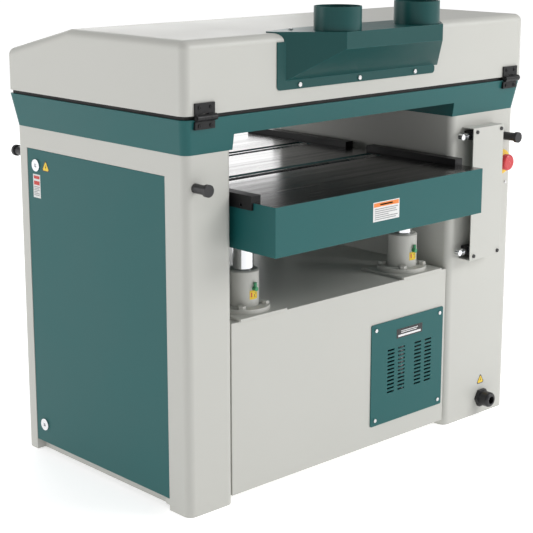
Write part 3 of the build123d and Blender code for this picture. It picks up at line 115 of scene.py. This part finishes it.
# Lettering is (material index, half width, top, bottom, rows), blocks are (index, across, up, width, height)
DOOR_LABEL_AT = (-226, 641)
DOOR_LABEL = (28, 54)
DOOR_LETTERING = (2, 11, 0, -23, 6)
DOOR_BLOCKS = [(1, 0, 20, 22, 7), (1, 0, 7, 22, 9)]
TABLE_LABEL_AT = (-61, 616.5)
TABLE_LABEL = (84, 43)
TABLE_LETTERING = (2, 37, 8, -19, 6)
TABLE_BLOCKS = [(1, 0, 15, 80, 9), (3, 0, 15, 40, 3.2)]
NAMEPLATE_AT = (162, 273)
NAMEPLATE = (92, 23)
NAMEPLATE_LETTERING = (1, 30, 7, -1, 2)
NAMEPLATE_BLOCKS = [(1, 0, -6, 80, 5)]
STICKER_RISE = 36
STICKER = (22, 20)
STICKER_BAR = (2, -6, 0, 3, 10)
DIGIT_ACROSS = 4
DIGIT_SCALE = 1.6
# Strokes of each digit: across, up, width, height
DIGITS = {
    1: [(0.4, 0, 0.9, 7.0), (-0.5, 2.4, 1.6, 0.9)],
    2: [
        (0, 3.2, 3.6, 0.9),
        (1.4, 1.6, 0.9, 3.0),
        (0, 0, 3.6, 0.9),
        (-1.4, -1.6, 0.9, 3.0),
        (0, -3.2, 3.6, 0.9),
    ],
}
BUTTON_PLATE = (26, 10)
BUTTON_PLATE_BELOW = 26
BUTTON_BLOCKS = [(1, 0, 0, 18, 4)]
LABEL_STRIPS = 8
LINE_SHARES = (1.0, 0.92, 0.97, 0.6)
LINE_WEIGHT = 0.45

# Low and high faces of the layers of a label, above the face it sits on
GAP = 0.05 * MM
FILM = (GAP, GAP + 0.15 * MM)
PRINT = (GAP + 0.10 * MM, GAP + 0.20 * MM)
MARK = (GAP + 0.15 * MM, GAP + 0.25 * MM)

# Warning sign, as shares of its size
SIGN_CORNER = 9
SIGN_INSIDE = 0.78
SIGN_MARK = (
    (0.06, 0.42),
    (-0.14, -0.02),
    (0.0, -0.02),
    (-0.08, -0.34),
    (0.16, 0.10),
    (0.02, 0.10),
    (0.16, 0.42),
)

# Screws: half section of the head as shares of radius and height, ending in the recess
SCREW_SECTION = ((1.0, 0.45), (0.93, 0.75), (0.75, 0.95), (0.5, 1.0), (0.47, 0.5))
SCREW_STEPS = 24
SCREW_RADIUS = 4
SCREW_HEIGHT = 2 * MM
HINGE_HALF = 26
HINGE_SCREW_SPREAD = 15
HINGE_FACE_IN = 4 * MM
HINGE_UPPER_DROP = 9
HINGE_LOWER_DROP = 46
CONTROL_SCREW_RADIUS = 3.5
CONTROL_SCREW_INSET = 10
COLUMN_SCREW_AT = (505, 590)

# Materials


def node(owner, kind, **settings):
    """New shader node of a material or world, with its settings."""
    made = owner.node_tree.nodes.new(kind)
    for key, value in settings.items():
        setattr(made, key, value)
    return made


def noise(material, mapping, scale, detail):
    """Noise over the object's own coordinates."""
    made = node(material, "ShaderNodeTexNoise")
    made.inputs["Scale"].default_value = scale
    made.inputs["Detail"].default_value = detail
    material.node_tree.links.new(mapping.outputs["Vector"], made.inputs["Vector"])
    return made


def ranged(owner, value, span, result):
    """Socket that turns one span of a value into another."""
    made = node(owner, "ShaderNodeMapRange")
    for key, number in zip(("From Min", "From Max", "To Min", "To Max"), (*span, *result)):
        made.inputs[key].default_value = number
    owner.node_tree.links.new(value, made.inputs["Value"])
    return made.outputs["Result"]


def brightened_edge(material, soft, base, colour):
    """Painted highlight: base colour that gives way to a brighter one where the softened normal leaves the
    true one.
    """
    link = material.node_tree.links.new
    flat = node(material, "ShaderNodeNewGeometry")
    along = node(material, "ShaderNodeVectorMath", operation="DOT_PRODUCT")
    link(soft.outputs["Normal"], along.inputs[0])
    link(flat.outputs["Normal"], along.inputs[1])
    highlight_mix = node(material, "ShaderNodeMix", data_type="RGBA")
    highlight_mix.inputs[MIX_B].default_value = (*colour, 1)
    link(ranged(material, along.outputs["Value"], EDGE_HIGHLIGHT_SPAN, (0, 1)), highlight_mix.inputs[0])
    link(base, highlight_mix.inputs[MIX_A])
    return highlight_mix.outputs[MIX_OUT]


def finish(
    name,
    light,
    dark,
    rough,
    metal=0.0,
    coat=0.0,
    shine=0.5,
    clouds=7.0,
    stretch=(1, 1, 1),
    pits=600.0,
    relief=0.02,
    edge=1.15,
):
    """Two-tone surface with uneven gloss, fine relief, softened edges and a painted highlight along them."""
    material = bpy.data.materials.new(name)
    material.use_nodes = True
    shader = material.node_tree.nodes["Principled BSDF"]
    link = material.node_tree.links.new
    shader.inputs["Metallic"].default_value = metal
    shader.inputs["Coat Weight"].default_value = coat
    shader.inputs["Coat Roughness"].default_value = COAT_ROUGHNESS
    shader.inputs["Specular IOR Level"].default_value = shine

    place = node(material, "ShaderNodeTexCoord")
    mapping = node(material, "ShaderNodeMapping")
    mapping.inputs["Scale"].default_value = stretch
    link(place.outputs["Object"], mapping.inputs["Vector"])

    broad = noise(material, mapping, clouds, CLOUD_DETAIL)
    broad.inputs["Roughness"].default_value = CLOUD_ROUGHNESS
    tone = node(material, "ShaderNodeMix", data_type="RGBA")
    tone.inputs[MIX_A].default_value = (*dark, 1)
    tone.inputs[MIX_B].default_value = (*light, 1)
    link(broad.outputs["Fac"], tone.inputs[0])
    link(ranged(material, broad.outputs["Fac"], CLOUD_SPAN, rough), shader.inputs["Roughness"])

    soft = node(material, "ShaderNodeBevel", samples=4)
    soft.inputs["Radius"].default_value = EDGE_RADIUS
    # Lighter copy of the colour for the edges: a painted highlight
    highlight_colour = [min(1.0, c * edge + EDGE_HIGHLIGHT_LIFT) for c in light]
    link(brightened_edge(material, soft, tone.outputs[MIX_OUT], highlight_colour), shader.inputs["Base Color"])

    fine = noise(material, mapping, pits, PIT_DETAIL)
    bump = node(material, "ShaderNodeBump")
    bump.inputs["Strength"].default_value = 1.0
    bump.inputs["Distance"].default_value = relief * MM
    link(fine.outputs["Fac"], bump.inputs["Height"])
    link(soft.outputs["Normal"], bump.inputs["Normal"])
    link(bump.outputs["Normal"], shader.inputs["Normal"])
    return material


def paint_finish(name, light, dark, rough, **settings):
    """Smooth sprayed paint: little sheen away from the light, painted highlight along bent edges."""
    return finish(name, light, dark, rough, shine=0.3, **settings)


def metal_finish(name, light, dark, rough, **settings):
    """Bare metal."""
    return finish(name, light, dark, rough, metal=1.0, **settings)


def plastic_finish(name, light, dark, rough, coat):
    """Moulded plastic with a thin gloss."""
    return finish(name, light, dark, rough, coat=coat, clouds=40.0, relief=0.005)


def print_finish(name, light, dark, rough=(0.35, 0.45)):
    """Printed film."""
    return finish(name, light, dark, rough, clouds=60.0, relief=0.003)


# Larger lift settings below give a stronger painted highlight along the edges
BEIGE = finish("beige_paint", (0.555, 0.555, 0.522), (0.525, 0.524, 0.486), (0.36, 0.46), clouds=3.0)
GREEN = paint_finish(
    "green_paint", (0.010, 0.110, 0.110), (0.008, 0.096, 0.096), (0.34, 0.44), clouds=4.0, edge=1.8
)
BLACK_STEEL = paint_finish("dark_steel", (0.012, 0.012, 0.013), (0.006, 0.006, 0.007), (0.32, 0.46), edge=2.0)
GROUND = metal_finish(
    "ground_table",
    (0.21, 0.205, 0.205),
    (0.11, 0.106, 0.105),
    (0.14, 0.30),
    clouds=40.0,
    stretch=ALONG_X,
    pits=900.0,
    relief=0.01,
)
MACHINED = metal_finish(
    "machined_steel",
    (0.58, 0.58, 0.59),
    (0.46, 0.46, 0.47),
    (0.22, 0.36),
    clouds=120.0,
    stretch=ROUND_X,
    relief=0.004,
)
KNIFE = metal_finish(
    "knife_steel",
    (0.66, 0.66, 0.68),
    (0.55, 0.55, 0.57),
    (0.12, 0.22),
    clouds=90.0,
    stretch=ALONG_X,
    relief=0.003,
)
IRON = metal_finish(
    "pulley_iron",
    (0.24, 0.24, 0.25),
    (0.16, 0.16, 0.17),
    (0.35, 0.5),
    clouds=80.0,
    stretch=ROUND_X,
    relief=0.01,
)
CHROME = metal_finish(
    "chrome", (0.80, 0.81, 0.83), (0.70, 0.71, 0.73), (0.05, 0.12), clouds=60.0, stretch=ALONG_Z, relief=0.001
)
MOTOR = finish("motor_paint", (0.17, 0.19, 0.21), (0.13, 0.15, 0.17), (0.35, 0.5), clouds=14.0, relief=0.05)
RUBBER = finish(
    "black_rubber", (0.020, 0.020, 0.020), (0.012, 0.012, 0.012), (0.6, 0.8), clouds=30.0, relief=0.05
)
ROLLER = finish(
    "roller_cover",
    (0.11, 0.11, 0.12),
    (0.07, 0.07, 0.08),
    (0.5, 0.65),
    clouds=60.0,
    stretch=ROUND_X,
    relief=0.03,
)
BLACK = finish(
    "black_plastic",
    (0.017, 0.017, 0.019),
    (0.010, 0.010, 0.012),
    (0.30, 0.45),
    clouds=50.0,
    pits=1500.0,
    relief=0.03,
    edge=2.5,
)
YELLOW = plastic_finish("yellow_plastic", (0.86, 0.58, 0.03), (0.80, 0.52, 0.02), (0.25, 0.38), 0.2)
RED = plastic_finish("red_plastic", (0.62, 0.030, 0.040), (0.54, 0.022, 0.030), (0.22, 0.34), 0.3)
GREEN_PLASTIC = plastic_finish("green_plastic", (0.03, 0.30, 0.12), (0.02, 0.24, 0.09), (0.25, 0.38), 0.2)
ZINC = metal_finish(
    "zinc_plate", (0.72, 0.72, 0.72), (0.58, 0.58, 0.58), (0.2, 0.34), clouds=150.0, relief=0.01
)
# Darker copy of the green paint for the dust hood and its ports: painted shade, as their tilted faces catch
# less light
HOOD_SHADE_GREEN = paint_finish(
    "hood_shade_green", (0.006, 0.072, 0.070), (0.005, 0.062, 0.060), (0.30, 0.40), clouds=4.0, edge=2.2
)
CAST = finish(
    "cast_underside",
    (0.020, 0.080, 0.078),
    (0.014, 0.060, 0.058),
    (0.5, 0.7),
    clouds=30.0,
    pits=250.0,
    relief=0.25,
)
PAPER = print_finish("label_white", (0.80, 0.80, 0.79), (0.75, 0.75, 0.74))
ORANGE = print_finish("label_orange", (0.86, 0.25, 0.04), (0.80, 0.21, 0.03))
SIGN_YELLOW = print_finish("label_yellow", (0.90, 0.62, 0.02), (0.84, 0.56, 0.02))
SIGN_RED = print_finish("label_red", (0.62, 0.05, 0.04), (0.56, 0.04, 0.03))
INK = print_finish("label_ink", (0.045, 0.045, 0.05), (0.030, 0.030, 0.034), (0.4, 0.5))
GREY_INK = print_finish("label_grey", (0.35, 0.35, 0.36), (0.28, 0.28, 0.29), (0.4, 0.5))
PALE_FLOOR = finish("pale_floor", (0.92, 0.92, 0.92), (0.90, 0.90, 0.90), (0.55, 0.7), clouds=0.5, relief=0.0)

SLOTS = {
    "beige_paint": BEIGE,
    "green_paint": GREEN,
    "dark_steel": BLACK_STEEL,
    "machined_steel": MACHINED,
    "knife_steel": KNIFE,
    "pulley_iron": IRON,
    "chrome": CHROME,
    "motor_paint": MOTOR,
    "black_rubber": RUBBER,
    "roller_cover": ROLLER,
    "black_plastic": BLACK,
    "yellow_plastic": YELLOW,
    "red_plastic": RED,
    "green_plastic": GREEN_PLASTIC,
}


def paint(name, material):
    """One finish over a whole CAD node."""
    part = frame["nodes"][name]
    if part.material_slots:
        part.material_slots[0].material = material
    else:
        part.data.materials.append(material)


def paint_faces(name, material, chosen):
    """Second finish on the faces of a CAD node that the test picks by centre and normal."""
    part = frame["nodes"][name]
    part.data.materials.append(material)
    index = len(part.data.materials) - 1
    for face in part.data.polygons:
        if chosen(face.center, face.normal):
            face.material_index = index


# Mesh building


def piece(name, shape, materials, body):
    """Finished bmesh as an object that rides on a body."""
    mesh = bpy.data.meshes.new(name)
    bmesh.ops.recalc_face_normals(shape, faces=shape.faces)
    shape.to_mesh(mesh)
    shape.free()
    for material in materials:
        mesh.materials.append(material)
    made = bpy.data.objects.new(name, mesh)
    bpy.context.scene.collection.objects.link(made)
    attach(made, body)


def facing(origin, across):
    """Maps (across, up, out) onto a flat upright face."""
    across = Vector(across)
    up = Vector((0, 0, 1))
    out = across.cross(up)
    return lambda a, b, c: Vector(origin) + across * a + up * b + out * c


def wrapping(origin, radius, middle):
    """Maps (across, up, out) onto an upright cylinder, round from the middle angle."""

    def place(a, b, c):
        turn = math.radians(middle) + a / radius
        return Vector(origin) + Vector(((radius + c) * math.cos(turn), (radius + c) * math.sin(turn), b))

    return place


def shifted(place, across, up):
    """The same mapping, moved along its face by metres."""
    return lambda a, b, c: place(a + across, b + up, c)


def spot(place, at):
    """The same mapping, moved to a place in millimetres."""
    return shifted(place, at[0] * MM, at[1] * MM)


def rectangle(across, up, wide, tall):
    """Corners of a rectangle round its centre."""
    left = across - wide / 2
    low = up - tall / 2
    return [(left, low), (left + wide, low), (left + wide, low + tall), (left, low + tall)]


def slab(shape, place, outline, layer, index):
    """Adds a flat plate with an outline in millimetres to a bmesh."""
    loops = []
    for out in layer:
        loops.append([shape.verts.new(place(x * MM, y * MM, out)) for x, y in outline])
    lower, upper = loops
    faces = [shape.faces.new(lower), shape.faces.new(upper)]
    for i in range(len(lower)):
        j = (i + 1) % len(lower)
        faces.append(shape.faces.new((lower[i], lower[j], upper[j], upper[i])))
    for face in faces:
        face.material_index = index


def lathe(shape, place, section):
    """Adds a turned form to a bmesh: half section of (radius, out), turned about the out direction."""
    rings = []
    for radius, out in section:
        ring = []
        for i in range(SCREW_STEPS):
            turn = 2 * math.pi * i / SCREW_STEPS
            ring.append(shape.verts.new(place(radius * math.cos(turn), radius * math.sin(turn), out)))
        rings.append(ring)
    for lower, upper in zip(rings, rings[1:]):
        for i in range(SCREW_STEPS):
            j = (i + 1) % SCREW_STEPS
            shape.faces.new((lower[i], lower[j], upper[j], upper[i])).smooth = True
    shape.faces.new(rings[0])
    shape.faces.new(rings[-1])


def label(name, place, size, marks, body, materials):
    """Thin film in strips with printed blocks: each mark is (material index, across, up, width, height)."""
    shape = bmesh.new()
    width, height = size
    strip = width / LABEL_STRIPS
    for i in range(LABEL_STRIPS):
        slab(shape, place, rectangle((i + 0.5) * strip - width / 2, 0, strip, height), FILM, 0)
    for index, across, up, wide, tall in marks:
        slab(shape, place, rectangle(across, up, wide, tall), PRINT, index)
    piece(name, shape, materials, body)


def print_lines(index, half_wide, top, bottom, count):
    """Rows of short blocks in place of lettering."""
    pitch = (top - bottom) / count
    rows = []
    for i in range(count):
        width = 2 * half_wide * LINE_SHARES[i % len(LINE_SHARES)]
        rows.append((index, width / 2 - half_wide, top - pitch * (i + 0.5), width, pitch * LINE_WEIGHT))
    return rows


def sign(name, place, size, body):
    """Yellow triangle with a dark border and a plain dark mark."""
    shape = bmesh.new()
    corners = []
    for middle in (90, 210, 330):
        for side in (-SIGN_CORNER, SIGN_CORNER):
            turn = math.radians(middle + side)
            corners.append((size * math.cos(turn), size * math.sin(turn)))
    slab(shape, place, corners, FILM, 0)
    slab(shape, place, [(x * SIGN_INSIDE, y * SIGN_INSIDE) for x, y in corners], PRINT, 1)
    slab(shape, place, [(x * size, y * size) for x, y in SIGN_MARK], MARK, 0)
    piece(name, shape, [INK, SIGN_YELLOW], body)


def screw(name, place, radius, material, body):
    """Pan-head screw with a rounded rim and a round recess, its radius in millimetres."""
    shape = bmesh.new()
    section = [(radius * MM, GAP)]
    section += [(radius * MM * wide, SCREW_HEIGHT * tall) for wide, tall in SCREW_SECTION]
    lathe(shape, place, section)
    piece(name, shape, [material], body)


# Finishes of the CAD nodes

for part in frame["record"]["subparts"]:
    paint(part["node"], SLOTS[part["material_slot"]])
paint("sleeve_bolts", BEIGE)
# Dust hood and ports take the darker green copy: painted shade
for name in ("dust_hood", "dust_ports"):
    paint(name, HOOD_SHADE_GREEN)
for name in ("dust_hood_screws", "panel_screws"):
    paint(name, ZINC)

table_low, table_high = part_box("table_casting")
deck_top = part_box("base_cabinet")[1].z
cover_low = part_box("limit_switch_cover")[0]
switch_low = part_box("limit_switches")[0]
CORNERS = ("outfeed_left", "infeed_left", "outfeed_right", "infeed_right")
screw_boxes = [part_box("leadscrew_" + corner) for corner in CORNERS]
POSTS = [((low.x + high.x) / 2, (low.y + high.y) / 2) for low, high in screw_boxes]


def on_table_top(centre, normal):
    """The ground working face of the table."""
    return normal.z > 0.9 and centre.z > table_high.z - TABLE_SKIN


def under_table(centre, normal):
    """The rough casting inside the table's apron."""
    inside = table_low.x + TABLE_APRON < centre.x < table_high.x - TABLE_APRON
    inside = inside and table_low.y + TABLE_APRON < centre.y < table_high.y - TABLE_APRON
    return inside and not on_table_top(centre, normal)


def on_black_screw(centre, normal):
    """The screws of the limit switch cover and of the right side cover."""
    on_cover = centre.y < cover_low.y + COVER_SCREW_PROUD and centre.z > cover_low.z
    return on_cover or centre.x > CAD_HIGH.x - SIDE_SCREW_BAND


def on_oiler(centre, normal):
    """The oilers that stand out of the sleeves."""
    away = min(math.hypot(centre.x - x, centre.y - y) for x, y in POSTS)
    return away > SLEEVE_RADIUS + SLEEVE_SKIN and centre.z > deck_top + OILER_RISE


def on_switch_nose(centre, normal):
    """The bright noses of the limit switches."""
    return centre.x < switch_low.x + SWITCH_NOSE


paint_faces("table_casting", CAST, under_table)
paint_faces("table_casting", GROUND, on_table_top)
paint_faces("panel_screws", BLACK, on_black_screw)
paint_faces("column_sleeves", GREEN_PLASTIC, on_oiler)
paint_faces("limit_switches", CHROME, on_switch_nose)

# Labels and signs

hinge_low, hinge_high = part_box("hinge_hood_leaves")
box_low, box_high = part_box("control_box")
DOOR_FACE = facing((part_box("left_door")[0].x, 0, 0), (0, -1, 0))
COLUMN_FACE = facing((0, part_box("right_housing")[0].y, 0), (1, 0, 0))
APRON_FACE = facing((0, table_low.y, 0), (1, 0, 0))
VENT_FACE = facing((0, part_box("vent_panel")[0].y, 0), (1, 0, 0))
HINGE_FACE = facing((0, hinge_high.y - HINGE_FACE_IN, 0), (1, 0, 0))
CONTROL_FACE = facing((0, box_high.y, 0), (-1, 0, 0))

sign("door_sign", spot(DOOR_FACE, DOOR_SIGN_AT), DOOR_SIGN_SIZE, "left_door")
sign("gland_sign", spot(COLUMN_FACE, GLAND_SIGN_AT), GLAND_SIGN_SIZE, "frame")

marks = print_lines(*DOOR_LETTERING) + DOOR_BLOCKS
materials = [PAPER, SIGN_RED, GREY_INK]
place = spot(DOOR_FACE, DOOR_LABEL_AT)
label("door_label", place, DOOR_LABEL, marks, "left_door", materials)

marks = print_lines(*TABLE_LETTERING) + TABLE_BLOCKS
materials = [PAPER, ORANGE, GREY_INK, INK]
place = spot(APRON_FACE, TABLE_LABEL_AT)
label("table_label", place, TABLE_LABEL, marks, "table", materials)

marks = print_lines(*NAMEPLATE_LETTERING) + NAMEPLATE_BLOCKS
materials = [BLACK, ZINC]
place = spot(VENT_FACE, NAMEPLATE_AT)
label("vent_nameplate", place, NAMEPLATE, marks, "frame", materials)

for number, (x, y) in enumerate(POSTS):
    outward = math.copysign(90, y)
    place = wrapping((x, y, deck_top + STICKER_RISE * MM), SLEEVE_RADIUS, outward)
    marks = []
    for across, up, wide, tall in DIGITS[1 if x > 0 else 2]:
        stroke = [DIGIT_SCALE * size for size in (across, up, wide, tall)]
        stroke[0] += DIGIT_ACROSS
        marks.append((1, *stroke))
    marks.append(STICKER_BAR)
    name = f"sleeve_number_{number + 1}"
    label(name, place, STICKER, marks, "frame", [SIGN_YELLOW, INK, SIGN_RED])

# Screws and button plates

leaf_half = HINGE_HALF * MM
for side, middle in (("left", hinge_low.x + leaf_half), ("right", hinge_high.x - leaf_half)):
    leaf = shifted(HINGE_FACE, middle, hinge_high.z)
    for count, offset in enumerate((-HINGE_SCREW_SPREAD, HINGE_SCREW_SPREAD)):
        for row, drop, body in (("upper", HINGE_UPPER_DROP, "hood"), ("lower", HINGE_LOWER_DROP, "frame")):
            name = f"hinge_screw_{row}_{side}_{count + 1}"
            screw(name, spot(leaf, (offset, -drop)), SCREW_RADIUS, BLACK_STEEL, body)

for name in ("start_button", "stop_button"):
    low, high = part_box(name)
    place = shifted(CONTROL_FACE, -(low.x + high.x) / 2, (low.z + high.z) / 2)
    place = spot(place, (0, -BUTTON_PLATE_BELOW))
    label(name + "_plate", place, BUTTON_PLATE, BUTTON_BLOCKS, "frame", [BLACK, PAPER])

half_wide = (box_high.x - box_low.x) / 2 - CONTROL_SCREW_INSET * MM
half_tall = (box_high.z - box_low.z) / 2 - CONTROL_SCREW_INSET * MM
middle = shifted(CONTROL_FACE, -(box_low.x + box_high.x) / 2, (box_low.z + box_high.z) / 2)
for count, (across, up) in enumerate(((-1, -1), (1, -1), (1, 1), (-1, 1))):
    place = shifted(middle, across * half_wide, up * half_tall)
    screw(f"control_screw_{count + 1}", place, CONTROL_SCREW_RADIUS, ZINC, "frame")

screw("column_screw", spot(COLUMN_FACE, COLUMN_SCREW_AT), SCREW_RADIUS, ZINC, "frame")

# Camera, floor and light

camera = bpy.data.objects.new("camera", bpy.data.cameras.new("camera"))
bpy.context.scene.collection.objects.link(camera)
camera.location = CAMERA_PLACE
camera.rotation_euler = (math.radians(90 - CAMERA_DROP), 0, math.radians(-CAMERA_TURN))
camera.data.lens = CAMERA_LENS
camera.data.shift_y = CAMERA_SHIFT
camera.data.clip_end = CAMERA_REACH
bpy.context.scene.camera = camera
bpy.context.scene.view_settings.view_transform = "Standard"

floor_shape = bmesh.new()
bmesh.ops.create_grid(floor_shape, x_segments=4, y_segments=4, size=FLOOR_SIZE)
floor_mesh = bpy.data.meshes.new("floor")
floor_shape.to_mesh(floor_mesh)
floor_shape.free()
shader = PALE_FLOOR.node_tree.nodes["Principled BSDF"]
shader.inputs["Emission Color"].default_value = (1.0, 1.0, 1.0, 1)
shader.inputs["Emission Strength"].default_value = FLOOR_GLOW
floor_mesh.materials.append(PALE_FLOOR)
floor = bpy.data.objects.new("floor", floor_mesh)
floor.location.z = CAD_LOW.z - FLOOR_GAP
bpy.context.scene.collection.objects.link(floor)

# The world lights softly but looks as white as the floor behind the machine
world = bpy.data.worlds.new("studio")
world.use_nodes = True
backdrop = world.node_tree.nodes["Background"]
backdrop.inputs["Color"].default_value = (1.0, 1.0, 1.0, 1)
seen = node(world, "ShaderNodeLightPath")
level = ranged(world, seen.outputs["Is Camera Ray"], (0, 1), (WORLD_LIGHT, 1))
world.node_tree.links.new(level, backdrop.inputs["Strength"])
bpy.context.scene.world = world


def softbox(name, place, width, height, power):
    """Rectangular studio light aimed at the machine's middle."""
    light = bpy.data.lights.new(name, "AREA")
    light.shape = "RECTANGLE"
    light.size = width
    light.size_y = height
    light.energy = power
    lamp = bpy.data.objects.new(name, light)
    lamp.location = place
    lamp.visible_camera = False
    lamp.rotation_euler = (Vector(LIGHT_TARGET) - Vector(place)).to_track_quat("-Z", "Y").to_euler()
    bpy.context.scene.collection.objects.link(lamp)


for name, settings in SOFTBOXES.items():
    softbox(name, *settings)

sky = bpy.data.lights.new("sky", "SUN")
sky.energy = SKY_LIGHT
sky.angle = math.radians(SKY_SPREAD)
sun = bpy.data.objects.new("sky", sky)
sun.rotation_euler = (math.radians(SKY_TILT[0]), math.radians(SKY_TILT[1]), 0)
bpy.context.scene.collection.objects.link(sun)
